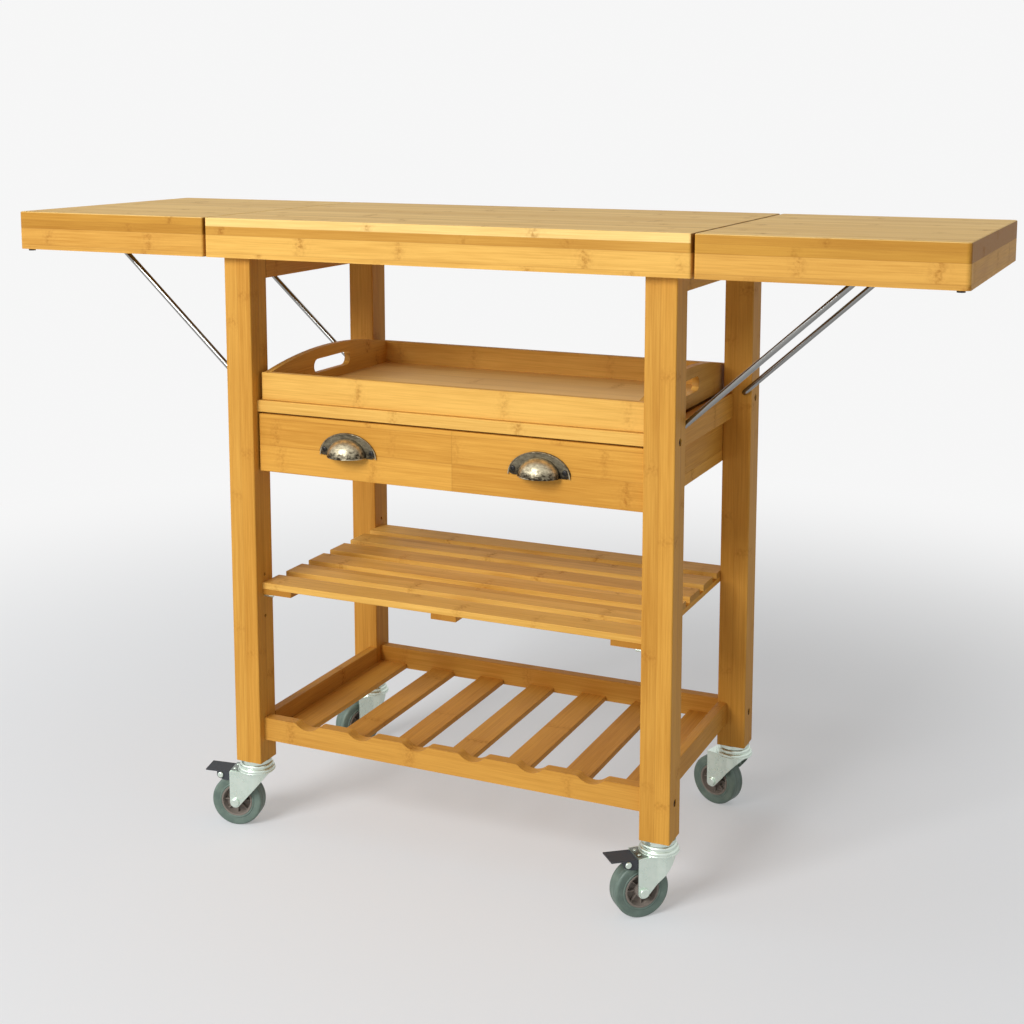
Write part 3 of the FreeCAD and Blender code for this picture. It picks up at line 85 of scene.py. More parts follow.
class Value:
    """A number that varies over a surface; sums and products of it add their own nodes."""

    def __init__(self, nodes, socket):
        self.nodes = nodes
        self.socket = socket

    def maths(self, operation, *others, clamped=False):
        settings = {"operation": operation, "use_clamp": clamped}
        values = dict(enumerate((self,) + others))
        return Value(self.nodes, self.nodes.node("ShaderNodeMath", settings, values).outputs[0])

    def __add__(self, other):
        return self.maths("ADD", other)

    def __sub__(self, other):
        return self.maths("SUBTRACT", other)

    def __rsub__(self, other):
        return (self * -1) + other

    def __mul__(self, other):
        return self.maths("MULTIPLY", other)

    def __truediv__(self, other):
        return self.maths("DIVIDE", other)

    def __rtruediv__(self, other):
        return self.maths("POWER", -1) * other

    __radd__ = __add__
    __rmul__ = __mul__

    def floor(self):
        return self.maths("FLOOR")

    def size(self):
        return self.maths("ABSOLUTE")

    def below(self, limit):
        return self.maths("LESS_THAN", limit)

    def above(self, limit):
        return self.maths("GREATER_THAN", limit)

    def held(self):
        """The value kept between 0 and 1."""
        return self.maths("ADD", 0, clamped=True)

    def rising(self, low, high):
        """0 under low, 1 over high and smooth between them."""
        settings = {"interpolation_type": "SMOOTHSTEP"}
        sockets = {"Value": self, "From Min": low, "From Max": high}
        return Value(self.nodes, self.nodes.node("ShaderNodeMapRange", settings, sockets).outputs["Result"])

    def bell(self, width):
        """1 where the value is 0, and a half at that width to either side."""
        share = self / width
        return 1 / (share * share + 1)


def total(values):
    return sum(values[1:], values[0])


class Nodes:
    """A node tree in the making."""

    def __init__(self, tree):
        self.tree = tree

    def node(self, kind, settings=None, sockets=None):
        made = self.tree.nodes.new(kind)
        for name, value in (settings or {}).items():
            setattr(made, name, value)
        for key, value in (sockets or {}).items():
            self.feed(made.inputs[key], value)
        return made

    def feed(self, socket, value):
        """Links a socket to what varies, or writes on it what doesn't."""
        if isinstance(value, Value):
            value = value.socket
        if isinstance(value, bpy.types.NodeSocket):
            self.tree.links.new(value, socket)
        else:
            socket.default_value = value

    def seen(self):
        """1 for what the eye or a reflection sees, 0 for light that falls on the object."""
        path = self.node("ShaderNodeLightPath").outputs
        rays = ("Is Camera Ray", "Is Glossy Ray", "Is Transmission Ray")
        return total([Value(self, path[name]) for name in rays]).held()


class Finish(Nodes):
    """A material in the making, with its surface and the object's own coordinates."""

    def __init__(self, name):
        self.material = bpy.data.materials.new(name)
        self.material.use_nodes = True
        super().__init__(self.material.node_tree)
        self.surface = self.tree.nodes["Principled BSDF"]
        self.point = self.node("ShaderNodeTexCoord").outputs["Object"]
        self.x, self.y, self.z = self.split(self.point)

    def split(self, vector):
        parts = self.node("ShaderNodeSeparateXYZ", sockets={0: vector})
        return [Value(self, output) for output in parts.outputs]

    def vector(self, x, y, z):
        return self.node("ShaderNodeCombineXYZ", sockets={0: x, 1: y, 2: z}).outputs[0]

    def facing(self, axis):
        """How squarely the surface faces along one of the object's axes, from 0 to 1."""
        normal = self.node("ShaderNodeTexCoord").outputs["Normal"]
        return self.split(normal)["xyz".index(axis)].size()

    def noise(self, place=None, scale=1.0, detail=2.0, roughness=0.5):
        sockets = {"Scale": scale, "Detail": detail, "Roughness": roughness,
                   "Vector": self.point if place is None else place}
        return Value(self, self.node("ShaderNodeTexNoise", sockets=sockets).outputs["Fac"])

    def stretched(self, x, y, z, detail):
        """Noise with a scale of its own along each axis."""
        return self.noise(self.vector(self.x * x, self.y * y, self.z * z), detail=detail)

    def random(self, *keys):
        """Three numbers from 0 to 1 that stay the same wherever the keys do."""
        grains = self.node("ShaderNodeTexWhiteNoise", {"noise_dimensions": "3D"},
                           {"Vector": self.vector(*keys)})
        parts = self.node("ShaderNodeSeparateColor", sockets={0: grains.outputs["Color"]})
        return [Value(self, output) for output in parts.outputs]

    def mix(self, share, first, second):
        """A colour between two colours."""
        made = self.node("ShaderNodeMix", {"data_type": "RGBA", "clamp_factor": True})
        factor, from_colour, to_colour = (made.inputs[index] for index in (0, 6, 7))
        self.feed(factor, share)
        self.feed(from_colour, solid(first))
        self.feed(to_colour, solid(second))
        return made.outputs[2]

    def relief(self, height, depth):
        """Bends the surface's normal by a height from 0 to 1 that stands for a depth in metres."""
        bump = self.node("ShaderNodeBump", sockets={"Strength": 1.0, "Distance": depth, "Height": height})
        self.feed(self.surface.inputs["Normal"], bump.outputs["Normal"])

    def set(self, colour, roughness, metal=0.0, specular=0.5):
        """Gives the surface what it looks like, and hands over the material."""
        self.feed(self.surface.inputs["Base Color"], solid(colour))
        self.feed(self.surface.inputs["Roughness"], roughness)
        self.feed(self.surface.inputs["Metallic"], metal)
        self.feed(self.surface.inputs["Specular IOR Level"], specular)
        return self.material


def solid(colour):
    """A written colour with its alpha; a linked one is left as it is."""
    if isinstance(colour, (Value, bpy.types.NodeSocket)):
        return colour
    return (*tuple(colour)[:3], 1.0)


def shade(colour, red, green=None, blue=None):
    """A colour with its channels scaled."""
    green = red if green is None else green
    blue = green if blue is None else blue
    return tuple(channel * share for channel, share in zip(colour, (red, green, blue)))


# ---------------------------------------------------------------- bamboo

# Shares of the timber's own colour, but the end grain's share also holds painted shade.
RUDDY, SALLOW = (1.0, 0.95, 0.80), (1.0, 1.03, 1.12)
DEEP, PALE = (0.72, 0.62, 0.42), (1.20, 1.30, 1.55)
END_GRAIN_AND_SHADE, KNOT, GLUE = (0.45, 0.36, 0.25), (0.58, 0.44, 0.27), (0.40, 0.29, 0.18)

# Half widths at half strength: a glue line as a share of its strip, the others in metres.
GLUE_LINE, BUTT_LINE = 0.012, 0.0004
KNOT_BAND, KNOT_HALO = 0.0062, 0.013
KNOT_BEND = 0.008                                # how far a growth node's line wanders along the grain
STRIP_SHIFT = 5                                  # most gaps that a strip's nodes are moved on

# How strongly the tone follows each of these, from strip to strip and within one.
STRIP_SWING, FIBRE_SWING, STREAK_SWING, CLOUD_SWING = 0.55, 1.15, 1.25, 0.9


def timber(finish, colour, level, warmth):
    """One bamboo's colour, from its deep streaks at level 0 to its pale ones at level 1."""
    warm = finish.mix(warmth, shade(colour, *RUDDY), shade(colour, *SALLOW))
    deep = finish.mix(0.7, warm, shade(colour, *DEEP))
    pale = finish.mix(0.6, warm, shade(colour, *PALE))
    return finish.mix(level, deep, pale)


def growth_node(finish, along, strips, shares, shift, seed, gap, wave, mottle):
    """The dark mottled band where a culm had a node, and the pale zone round it, one to each gap.

    shift moves a strip's nodes on against its neighbours', jitter moves each one within its gap, wave bends
    its line, and side is where across the strip it is darkest.
    """
    run = along / gap + shift * STRIP_SHIFT
    culm = run.floor()
    jitter, strength, side = finish.random(culm + seed, *strips)
    strength = strength * 0.55 + 0.45
    distance = (run - culm - 0.2 - jitter * 0.6) * gap + (wave - 0.5) * KNOT_BEND
    first, second = ((share - 0.35 - side * 0.3).bell(0.9) for share in shares)
    across_strip = first * second
    specks = (mottle - 0.40).held() * 3.6 + 0.30
    knot = (distance.bell(KNOT_BAND) * across_strip * strength * specks).held()
    return knot, distance.bell(KNOT_HALO) * across_strip * strength


def bamboo(name, grain, colour, strips, starts, seed, node_gap=0.27, turned=False, contrast=1.0, top=None,
           butt=None):
    """Laminated bamboo: strips with their own tones, fibres, glue lines and growth nodes.

    strips and starts are the strips' widths and one of their edges, along the two axes across the grain.
    turned swaps the grain between the long rails, where the short rails of the same frame run.
    top is a height and the colour over it, which is a paler upper layer and, on top faces, also painted
    sheen; butt is where other strips go on along the grain.
    """
    finish = Finish(name)
    x, y, z = finish.x, finish.y, finish.z
    along, across, up = {"x": (x, y, z), "y": (y, x, z), "z": (z, x, y)}[grain]
    if turned:
        inside = (y - top_middle_y).size().below(half_between_long_rails)
        along, across = along + (across - along) * inside, across + (along - across) * inside

    first, second = (across - starts[0]) / strips[0], (up - starts[1]) / strips[1]
    first_strip, second_strip = first.floor(), second.floor()
    shares = first - first_strip, second - second_strip
    seam = total([edge.bell(GLUE_LINE) for share in shares for edge in (share, 1 - share)]).held()
    if butt is not None:
        first_strip = first_strip + along.above(butt) * 7
        seam = (seam + (along - butt).bell(BUTT_LINE)).held()

    def drawn(lengthwise, sideways, detail=2.0, roughness=0.5):
        """Noise drawn out along the grain."""
        place = finish.vector(along * lengthwise, across * sideways, up * sideways)
        return finish.noise(place, detail=detail, roughness=roughness)

    streaks = drawn(16, 620, roughness=0.6)
    fibres = drawn(4, 210, detail=3.0, roughness=0.6)
    clouds = drawn(5, 22)
    tone, shift, warmth = finish.random(first_strip + seed, second_strip, seed * 0.37)
    knot, halo = growth_node(finish, along, (first_strip, second_strip), shares, shift, seed, node_gap,
                             wave=drawn(9, 90, detail=1.0), mottle=drawn(230, 260))
    level = 0.5 + (tone - 0.5) * (STRIP_SWING * contrast) + (fibres - 0.5) * (FIBRE_SWING * contrast)
    level = level + (streaks - 0.5) * (STREAK_SWING * contrast) + (clouds - 0.5) * (CLOUD_SWING * contrast)
    level = level + halo * 0.25
    # End faces come out darker: real end grain, deepened as painted shade, since the leaves' ends stand in
    # shade.
    ends = 0.0 if turned else finish.facing(grain).rising(0.75, 0.9)
    level = (level * (1 - ends) + ends * (0.12 + (streaks - 0.5) * 0.5)).held()

    wood = timber(finish, colour, level, warmth)
    if top is not None:
        top_low, top_and_sheen_colour = top
        # Paler over top_low: an upper layer, and painted sheen on the top faces.
        wood = finish.mix(z.above(top_low) * (1 - ends), wood, timber(finish, top_and_sheen_colour, level, warmth))
    # End grain colour, partly painted shade.
    wood = finish.mix(ends * 0.45, wood, shade(colour, *END_GRAIN_AND_SHADE))
    wood = finish.mix(knot * 0.8, wood, shade(colour, *KNOT))
    wood = finish.mix(seam * 0.30 * (1 - ends * 0.7), wood, shade(colour, *GLUE))
    finish.relief(streaks * 0.5 + fibres * 0.5 - seam * 0.6 - knot * 0.3, depth=0.0001)
    roughness = 0.56 + (fibres - 0.5) * 0.16 + knot * 0.10
    return finish.set(wood, roughness, specular=0.18)


# ---------------------------------------------------------------- metal, plastic and rubber

def plated_zinc(name, colour):
    """Bright zinc plate with a faint green cast, cloudy, with drawing marks."""
    finish = Finish(name)
    clouds = finish.noise(scale=95, detail=3.0)
    marks = finish.stretched(900, 900, 60, detail=2.0)
    shine = finish.mix(clouds, shade(colour, 0.86, 0.92, 0.88), shade(colour, 1.08, 1.06, 1.06))
    return finish.set(shine, 0.19 + clouds * 0.14 + marks * 0.06, metal=0.88)


def polished_steel(name, colour):
    """Drawn bright rod with faint lines round it."""
    finish = Finish(name)
    lines = finish.noise(scale=700, detail=2.0)
    finish.relief(lines, depth=0.000006)
    return finish.set(finish.mix(lines, shade(colour, 0.94), colour), 0.12 + lines * 0.08, metal=1.0)


def aged_brass(name, colour, dark, highlight_z, back_y):
    """Antiqued brass: dark on the plate at back_y and in the hollows, worn bright in spots and smears, with a
    painted highlight round highlight_z.
    """
    finish = Finish(name)
    spots = finish.noise(scale=210, detail=4.0, roughness=0.7)
    smears = finish.stretched(120, 260, 420, detail=3.0)
    # Painted highlight: a bright band round highlight_z, where light falls on the cups.
    crown = 1 - ((finish.z - highlight_z) / (13 * MM)).size().rising(0.2, 1.5)
    proud = (back_y - finish.y).rising(2.5 * MM, 8 * MM)
    # Worn spots and smears, with the painted highlight added in.
    worn = (crown * 0.62 + (spots - 0.5) * 1.4 + (smears - 0.5) + 0.08).held()
    wear_and_highlight = worn * (proud * 0.75 + 0.25)
    finish.relief(spots, depth=0.00005)
    return finish.set(finish.mix(wear_and_highlight, dark, colour), 0.46 - wear_and_highlight * 0.16, metal=0.92)


def blackened_steel(name, colour):
    """Black oxide on steel, thinner on the high spots."""
    finish = Finish(name)
    worn = finish.noise(scale=520, detail=3.0)
    tint = finish.mix(worn.rising(0.5, 0.8), colour, shade(colour, 3.2))
    return finish.set(tint, 0.36 + worn * 0.2, metal=0.75)


def moulded(name, colour, grain_scale, roughness, depth, lift=1.25):
    """Moulded plastic or rubber with its fine spark-eroded grain and a bloom that lifts its colour."""
    finish = Finish(name)
    grain = finish.noise(scale=grain_scale, detail=3.0)
    bloom = finish.noise(scale=38, detail=2.0)
    tint = finish.mix((bloom * 0.7 + grain * 0.3).held(), shade(colour, 0.86), shade(colour, lift))
    finish.relief(grain, depth)
    return finish.set(tint, roughness + (grain - 0.5) * 0.16)


def tyre_rubber(name, colour):
    """Grey-green non-marking rubber, paler where dust lies on it."""
    finish = Finish(name)
    dust = finish.noise(scale=60, detail=4.0)
    grain = finish.noise(scale=900, detail=2.0)
    clean, dusty = shade(colour, 0.84, 0.86, 0.86), shade(colour, 1.22, 1.18, 1.16)
    finish.relief(grain, depth=0.00003)
    return finish.set(finish.mix(dust.rising(0.35, 0.75), clean, dusty), 0.46 + (dust - 0.5) * 0.2)


def shared(name, maker, *details, **more):
    """A finish that several pieces have, made once."""
    return bpy.data.materials.get(name) or maker(name, *details, **more)


def zinc():
    return shared("plated_zinc", plated_zinc, colours().zinc)


def black_steel():
    return shared("blackened_steel", blackened_steel, colours().black_steel)


# ---------------------------------------------------------------- modelling

def aimed(way):
    """The turn that brings Z round to a direction."""
    return Vector(UP).rotation_difference(Vector(way)).to_matrix().to_4x4()


def boundary(verts):
    return list({edge for corner in verts for edge in corner.link_edges if edge.is_boundary})


def turned(profile, steps):
    """A closed ring turned about the X axis from pairs of a place along it and a radius."""
    ring = bmesh.new()
    points = [ring.verts.new((place, 0, radius)) for place, radius in profile]
    edges = [ring.edges.new(pair) for pair in zip(points, points[1:] + points[:1])]
    bmesh.ops.spin(ring, geom=points + edges, cent=(0, 0, 0), axis=(1, 0, 0), dvec=(0, 0, 0),
                   angle=math.tau, steps=steps, use_merge=True)
    bmesh.ops.remove_doubles(ring, verts=ring.verts, dist=1e-7)
    bmesh.ops.recalc_face_normals(ring, faces=ring.faces)
    return ring


def block(mesh, low, high, softened):
    """A box between two corners, with its edges rounded."""
    low, high = Vector(low), Vector(high)
    made = bmesh.ops.create_cube(mesh, size=1.0)["verts"]
    bmesh.ops.scale(mesh, verts=made, vec=high - low)
    bmesh.ops.translate(mesh, verts=made, vec=(low + high) / 2)
    edges = list({edge for corner in made for edge in corner.link_edges})
    bmesh.ops.bevel(mesh, geom=edges, offset=softened, offset_type="OFFSET", segments=3, profile=0.5,
                    affect="EDGES", material=-1)


def dome(mesh, place, way, radius, height, steps=24):
    """A shallow dome on its flat base, such as a rivet's head."""
    made = bmesh.ops.create_uvsphere(mesh, u_segments=steps, v_segments=DOME_RINGS, radius=1.0)["verts"]
    bmesh.ops.delete(mesh, geom=[corner for corner in made if corner.co.z < -0.01], context="VERTS")
    cap = [corner for corner in made if corner.is_valid]
    bmesh.ops.holes_fill(mesh, edges=boundary(cap), sides=steps)
    scale = Matrix.Diagonal((radius, radius, height, 1))
    bmesh.ops.transform(mesh, matrix=Matrix.Translation(place) @ aimed(way) @ scale, verts=cap)


def bead(mesh, across, along, thickness, turn, steps):
    """A round bead along an elliptical arc in the XY plane, closed at both ends when it is open."""
    upright = Matrix.Translation((across, 0, 0)) @ Matrix.Rotation(math.pi / 2, 4, "X")
    start = bmesh.ops.create_circle(mesh, segments=BEAD_SIDES, radius=thickness, matrix=upright)["verts"]
    edges = list({edge for corner in start for edge in corner.link_edges})
    known = set(mesh.verts) - set(start)
    full = turn == math.tau
    bmesh.ops.spin(mesh, geom=start + edges, cent=(0, 0, 0), axis=UP, dvec=(0, 0, 0),
                   angle=turn, steps=steps, use_merge=full)
    made = [corner for corner in mesh.verts if corner not in known]
    bmesh.ops.scale(mesh, verts=made, vec=(1, along / across, 1))
    if not full:
        bmesh.ops.holes_fill(mesh, edges=boundary(made), sides=BEAD_SIDES)
    return made


def cross_head(place, way, turn, radius, height, arm, slot):
    """A domed screw head with a cross sunk into it, as a mesh of its own."""
    head = bmesh.new()
    dome(head, (0, 0, 0), UP, radius, height, steps=32)
    for reach in (slot, arm):
        for normal in ((1, 0, 0), (-1, 0, 0), (0, 1, 0), (0, -1, 0)):
            everything = head.verts[:] + head.edges[:] + head.faces[:]
            bmesh.ops.bisect_plane(head, geom=everything, plane_co=Vector(normal) * reach, plane_no=normal)
    cross = []
    for face in head.faces:
        middle = face.calc_center_median()
        near, far = sorted((abs(middle.x), abs(middle.y)))
        if middle.z > height * 0.1 and near < slot and far < arm:
            cross.append(face)
    bmesh.ops.inset_region(head, faces=cross, thickness=slot * 0.12, depth=-height * 0.55,
                           use_boundary=True, use_even_offset=True)
    spin = Matrix.Rotation(turn, 4, "Z")
    bmesh.ops.transform(head, matrix=Matrix.Translation(place) @ aimed(way) @ spin, verts=head.verts)
    return head


def joined(meshes):
    """Several meshes as one."""
    whole = bmesh.new()
    for mesh in meshes:
        data = bpy.data.meshes.new("part")
        mesh.to_mesh(data)
        mesh.free()
        whole.from_mesh(data)
        bpy.data.meshes.remove(data)
    return whole


def linked(name, data):
    """An object in the scene."""
    made = bpy.data.objects.new(name, data)
    bpy.context.scene.collection.objects.link(made)
    return made


def meshed(name, mesh, material):
    """An object from a bmesh, which is used up."""
    data = bpy.data.meshes.new(name)
    mesh.to_mesh(data)
    mesh.free()
    data.materials.append(material)
    return linked(name, data)


def piece(name, mesh, body, material, place=None, replaces=()):
    """Turns a bmesh into a finished object that rides on a CAD body."""
    if place is not None:
        bmesh.ops.transform(mesh, matrix=place, verts=mesh.verts)
    bmesh.ops.recalc_face_normals(mesh, faces=mesh.faces)
    if not mesh.faces:
        raise RuntimeError(name + " has no faces")
    for face in mesh.faces:
        face.smooth = True
    for edge in mesh.edges:
        edge.smooth = len(edge.link_faces) == 2 and edge.calc_face_angle(0) < CREASE
    made = meshed(name, mesh, material)
    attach(made, body)
    if replaces:
        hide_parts(*replaces)


def joint_place(name):
    """Where one of the CAD's joints lies."""
    return Vector(next(one["pos_m"] for one in frame["joints"] if one["name"] == name))


def caster_place(corner):
    """The frame of one caster: swivel axis on Z, wheel trailing towards -X, axle along Y."""
    stem, axle = joint_place("swivel_" + corner), joint_place("spin_" + corner)
    ahead = Vector((stem.x - axle.x, stem.y - axle.y, 0)).normalized()
    upward = Vector(UP)
    turn = Matrix((ahead, upward.cross(ahead), upward)).transposed().to_4x4()
    return Matrix.Translation((stem.x, stem.y, 0)) @ turn


def wheel_place(corner):
    """The frame of one wheel: its axle on X."""
    stem, axle = joint_place("swivel_" + corner), joint_place("spin_" + corner)
    trail = (axle - stem).xy.length
    return (caster_place(corner) @ Matrix.Translation((-trail, 0, axle.z))
            @ Matrix.Rotation(math.pi / 2, 4, "Z"))


# ---------------------------------------------------------------- what a user may change

def length(label, text, millimetres):
    return FloatProperty(name=label, description=text, default=millimetres * MM, min=0, unit="LENGTH",
                         precision=4)


def tint(label, text, red, green, blue):
    return FloatVectorProperty(name=label, description=text, default=(red, green, blue), min=0, max=1,
                               size=3, subtype="COLOR")


def power(label, text, watts):
    return FloatProperty(name=label, description=text, default=watts, subtype="POWER")


class IslandSizes(bpy.types.PropertyGroup):
    strip: length("Strip", "Width of one bamboo strip in the worktop", 20.6)
    layer: length("Layer", "Thickness of one layer of the worktop's boards", 12)
    leg_strip: length("Leg strip", "Width of one bamboo strip in a leg", 21.3)
    tyre_radius: length("Tyre radius", "Axle to the tread", 37.5)
    tyre_half: length("Tyre half width", "Middle of the tyre to its side wall", 12)
    tyre_bore: length("Tyre bore", "Radius of the hub's rim in the tyre", 23.5)
    tyre_shoulder: length("Tyre shoulder", "Rounding between the tread and a side wall", 3.4)
    groove: length("Tread groove", "Depth of the moulded lines round the tread", 0.45)
    hub_boss: length("Hub boss radius", "Outside of the hub round the axle", 9)
    hub_boss_half: length("Hub boss half width", "Middle of the hub to the boss's face", 14.5)
    hub_bore: length("Hub bore", "Radius of the hole for the axle", 4.1)
    hub_rib: length("Hub rib", "Thickness of a rib in the hub", 1.6)
    hub_ribs: IntProperty(name="Hub ribs", description="Ribs on each side of a hub", default=8, min=3)
    race_radius: length("Raceway radius", "Outside of the lower swivel ring", 26.5)
    race_low: length("Raceway foot", "Floor to the foot of the lower swivel ring", 84.5)
    race_high: length("Raceway top", "Floor to the top of the lower swivel ring", 91.7)
    cap_radius: length("Raceway cap radius", "Outside of the upper swivel ring", 24)
    race_lip: length("Raceway lip", "Radius of the rolled lip of the swivel ring", 0.9)
    plate_half: length("Brake plate half width", "Middle of the fork to the plate's side", 15)
    plate_thick: length("Brake plate thickness", "Dull plate on the fork that carries the pedal", 0.8)
    plate_front: length("Brake plate front", "Swivel axis to the plate's near edge", 22)
    plate_back: length("Brake plate back", "Swivel axis to the plate's far edge", 35.9)
    rivet: length("Rivet radius", "Head of a rivet in the brake plate", 2.1)
    pull_half: length("Pull half width", "Middle of a cup pull to the end of its back plate", 44.5)
    pull_rise: length("Pull rise", "Foot of a cup pull's back plate to its crown", 33)
    cup_half: length("Cup half width", "Middle of a cup pull to the end of its cup", 30)
    cup_depth: length("Cup depth", "Back plate to the cup's lip", 26)
    pull_bead: length("Pull bead", "Radius of the bead along a pull's edges", 0.85)
    screw_head: length("Screw head", "Radius of the head of a pull's screw", 3.8)


class IslandColours(bpy.types.PropertyGroup):
    # The worktop's pale colour is partly the bamboo's own and partly painted sheen on the top faces.
    top: tint("Worktop", "Pale bamboo of the top boards", 0.84, 0.55, 0.18)
    edge: tint("Board edge", "Darker bamboo in the boards' lower layer", 0.58, 0.29, 0.045)
    rail: tint("Rails", "Light honey bamboo under the boards and round the tray", 0.70, 0.385, 0.078)
    honey: tint("Frame", "Honey bamboo of the legs, drawer and box", 0.63, 0.305, 0.045)
    # The rack's deeper honey is painted shade, for the weaker light near the floor.
    rack: tint("Rack", "Deep honey bamboo of the bottle rack", 0.56, 0.265, 0.040)
    sheet: tint("Sheet", "Thin bamboo sheet of the tray and drawer bottoms", 0.85, 0.55, 0.18)
    zinc: tint("Zinc", "Plated forks, plates and pins", 0.72, 0.80, 0.73)
    rod: tint("Rod", "Bright wire of the bails", 0.30, 0.30, 0.29)
    # Brass of the worn spots and of the painted highlight on the cups.
    brass: tint("Brass", "Rubbed parts of the cup pulls", 0.76, 0.67, 0.46)
    brass_dark: tint("Brass shade", "Dark parts of the cup pulls", 0.030, 0.022, 0.013)
    black_steel: tint("Black steel", "Bolts and screws", 0.030, 0.028, 0.026)
    bumper: tint("Bumper", "Rubber under the leaves", 0.018, 0.018, 0.018)
    tyre: tint("Tyre", "Grey-green rubber of the wheels", 0.125, 0.175, 0.145)
    hub: tint("Hub", "Brown plastic of the hubs", 0.060, 0.054, 0.046)
    pedal: tint("Pedal", "Black plastic of the brake pedals", 0.020, 0.023, 0.021)


class IslandStudio(bpy.types.PropertyGroup):
    key: power("Key", "Power of the soft lamp in front, a little to the left", 308)
    fill: power("Fill", "Power of the weak lamp at the left end", 12)
    sky: FloatProperty(name="Sky", description="Light from all round the object", default=0.36)
    veil: FloatProperty(name="Veil", description="Share of the backdrop's white in the floor", default=0.30)
    backdrop: tint("Backdrop", "What shows behind the object", 0.925, 0.925, 0.925)
    floor: tint("Floor", "Pale floor under the object", 0.78, 0.80, 0.825)


def sizes():
    return bpy.context.scene.island_sizes


def colours():
    return bpy.context.scene.island_colours


def studio():
    return bpy.context.scene.island_studio


# ---------------------------------------------------------------- wood

STRIP_ORIGIN = -0.4                              # a strip's edge where it doesn't follow a corner


def dress(material, *nodes):
    """Gives CAD nodes a finish through their own slots."""
    for name in nodes:
        for place in frame["nodes"][name].material_slots:
            place.material = material


def lay(node, grain, colour, strips, seed, aside=MM, under=MM, start=None, beside=None, **more):
    """Dresses a CAD node in bamboo of its own.

    The first strip starts aside of and under the lowest corner of the node, or of the one named by beside.
    start is the first strip's edge itself, where it doesn't follow that corner.
    """
    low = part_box(beside or node)[0]
    if start is None:
        start = (low.x if grain == "y" else low.y) - aside
    dress(bamboo(node, grain, colour, strips, (start, low.z - under), seed, **more), node)


def lay_sheet(node, seed):
    """Dresses a CAD node in thin rotary-cut bamboo: broad pale bands and fine pores."""
    bands, starts = (0.047, 0.031), (0.003, 0.007)
    dress(bamboo(node, "x", colours().sheet, bands, starts, seed, node_gap=0.41, contrast=0.6), node)


class ISLAND_OT_worktop(bpy.types.Operator):
    """Finishes the three boards of the worktop and the rails under them"""
    bl_idname = "island.worktop"
    bl_label = "Worktop and leaves"

    def execute(self, context):
        size, colour = sizes(), colours()
        leaf_edge = shade(colour.edge, 0.88, 0.84, 0.68)
        leaf_rail = shade(colour.rail, 0.90, 0.84, 0.76)
        first_strip = top_middle_y + 0.4 * MM
        # The middle board shows its pale upper layer at the edge too, the leaves only on their top faces. On
        # the top faces the pale colour is also painted sheen, the light glancing off them.
        layer, face = board_low.z + size.layer, board_high.z - MM
        boards = (("centre_top_board", 3, colour.edge, layer),
                  ("left_leaf_board", 11, leaf_edge, face),
                  ("right_leaf_board", 23, leaf_edge, face))
        for name, seed, tone, top_low in boards:
            starts = (first_strip, board_low.z + 0.2 * MM)
            dress(bamboo(name, "x", tone, (size.strip, size.layer), starts, seed, node_gap=0.31, contrast=0.8,
                         top=(top_low, colour.top)), name)
        rails = (("centre_top_aprons", 5, colour.rail),
                 ("left_leaf_rails", 14, leaf_rail),
                 ("right_leaf_rails", 29, leaf_rail))
        strips = (24.5 * MM, 24.4 * MM)
        for name, seed, tone in rails:
            starts = (first_strip, apron_top - strips[1] - 0.2 * MM)
            dress(bamboo(name, "x", tone, strips, starts, seed, node_gap=0.19, turned=True), name)
        return {"FINISHED"}


class ISLAND_OT_frame(bpy.types.Operator):
    """Finishes the legs and every rail between them"""
    bl_idname = "island.frame"
    bl_label = "Legs and rails"

    def execute(self, context):
        strip, honey = sizes().leg_strip, colours().honey
        for count, corner in enumerate(CORNERS):
            name = "leg_" + corner
            low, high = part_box(name)
            middle = ((low.x + high.x) / 2, (low.y + high.y) / 2)
            dress(bamboo(name, "z", honey, (strip, strip), middle, 31 + count * 7, node_gap=0.24), name)
        for count, name in enumerate(("top_side_rails", "box_side_rails", "drawer_guards", "drawer_runners",
                                      "left_bail_catch", "right_bail_catch")):
            lay(name, "y", honey, (22 * MM, 33 * MM), 61 + count * 5, start=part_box(name)[1].x + MM,
                node_gap=0.23)
        lay("tray_strips", "x", colours().rail, (30 * MM, 18 * MM), 93, under=0.6 * MM, node_gap=0.22)
        return {"FINISHED"}


class ISLAND_OT_drawer(bpy.types.Operator):
    """Finishes the drawer and the thin panel behind it"""
    bl_idname = "island.drawer"
    bl_label = "Drawer"

    def execute(self, context):
        honey = colours().honey
        height = drawer_high.z - drawer_low.z
        lay("drawer_front", "x", honey, (19 * MM, height * 0.47), 101, node_gap=0.20, butt=16 * MM)
        for seed, name, grain in ((107, "drawer_sides", "y"), (113, "drawer_back", "x")):
            lay(name, grain, honey, (15 * MM, 29 * MM), seed, under=3 * MM, start=STRIP_ORIGIN,
                beside="drawer_front")
        lay_sheet("drawer_bottom", 127)
        lay_sheet("box_back_panel", 131)
        return {"FINISHED"}


class ISLAND_OT_tray(bpy.types.Operator):
    """Finishes the lift-out tray"""
    bl_idname = "island.tray"
    bl_label = "Tray"

    def execute(self, context):
        rail = colours().rail
        lay("tray_long_walls", "x", rail, (26 * MM, 41 * MM), 139, aside=3 * MM, node_gap=0.21)
        lay("tray_end_walls", "y", rail, (26 * MM, 29 * MM), 149, aside=3 * MM, node_gap=0.21)
        lay_sheet("tray_floor", 151)
        return {"FINISHED"}


class ISLAND_OT_shelf(bpy.types.Operator):
    """Finishes the slatted middle shelf, its battens and its pins"""
    bl_idname = "island.shelf"
    bl_label = "Middle shelf"

    def execute(self, context):
        lay("shelf_slats", "x", colours().rail, (31 * MM, 19 * MM), 157, under=3 * MM, node_gap=0.23)
        lay("shelf_battens", "y", colours().honey, (24 * MM, 19 * MM), 163, under=12 * MM,
            beside="shelf_slats")
        dress(zinc(), "shelf_pins")
        return {"FINISHED"}


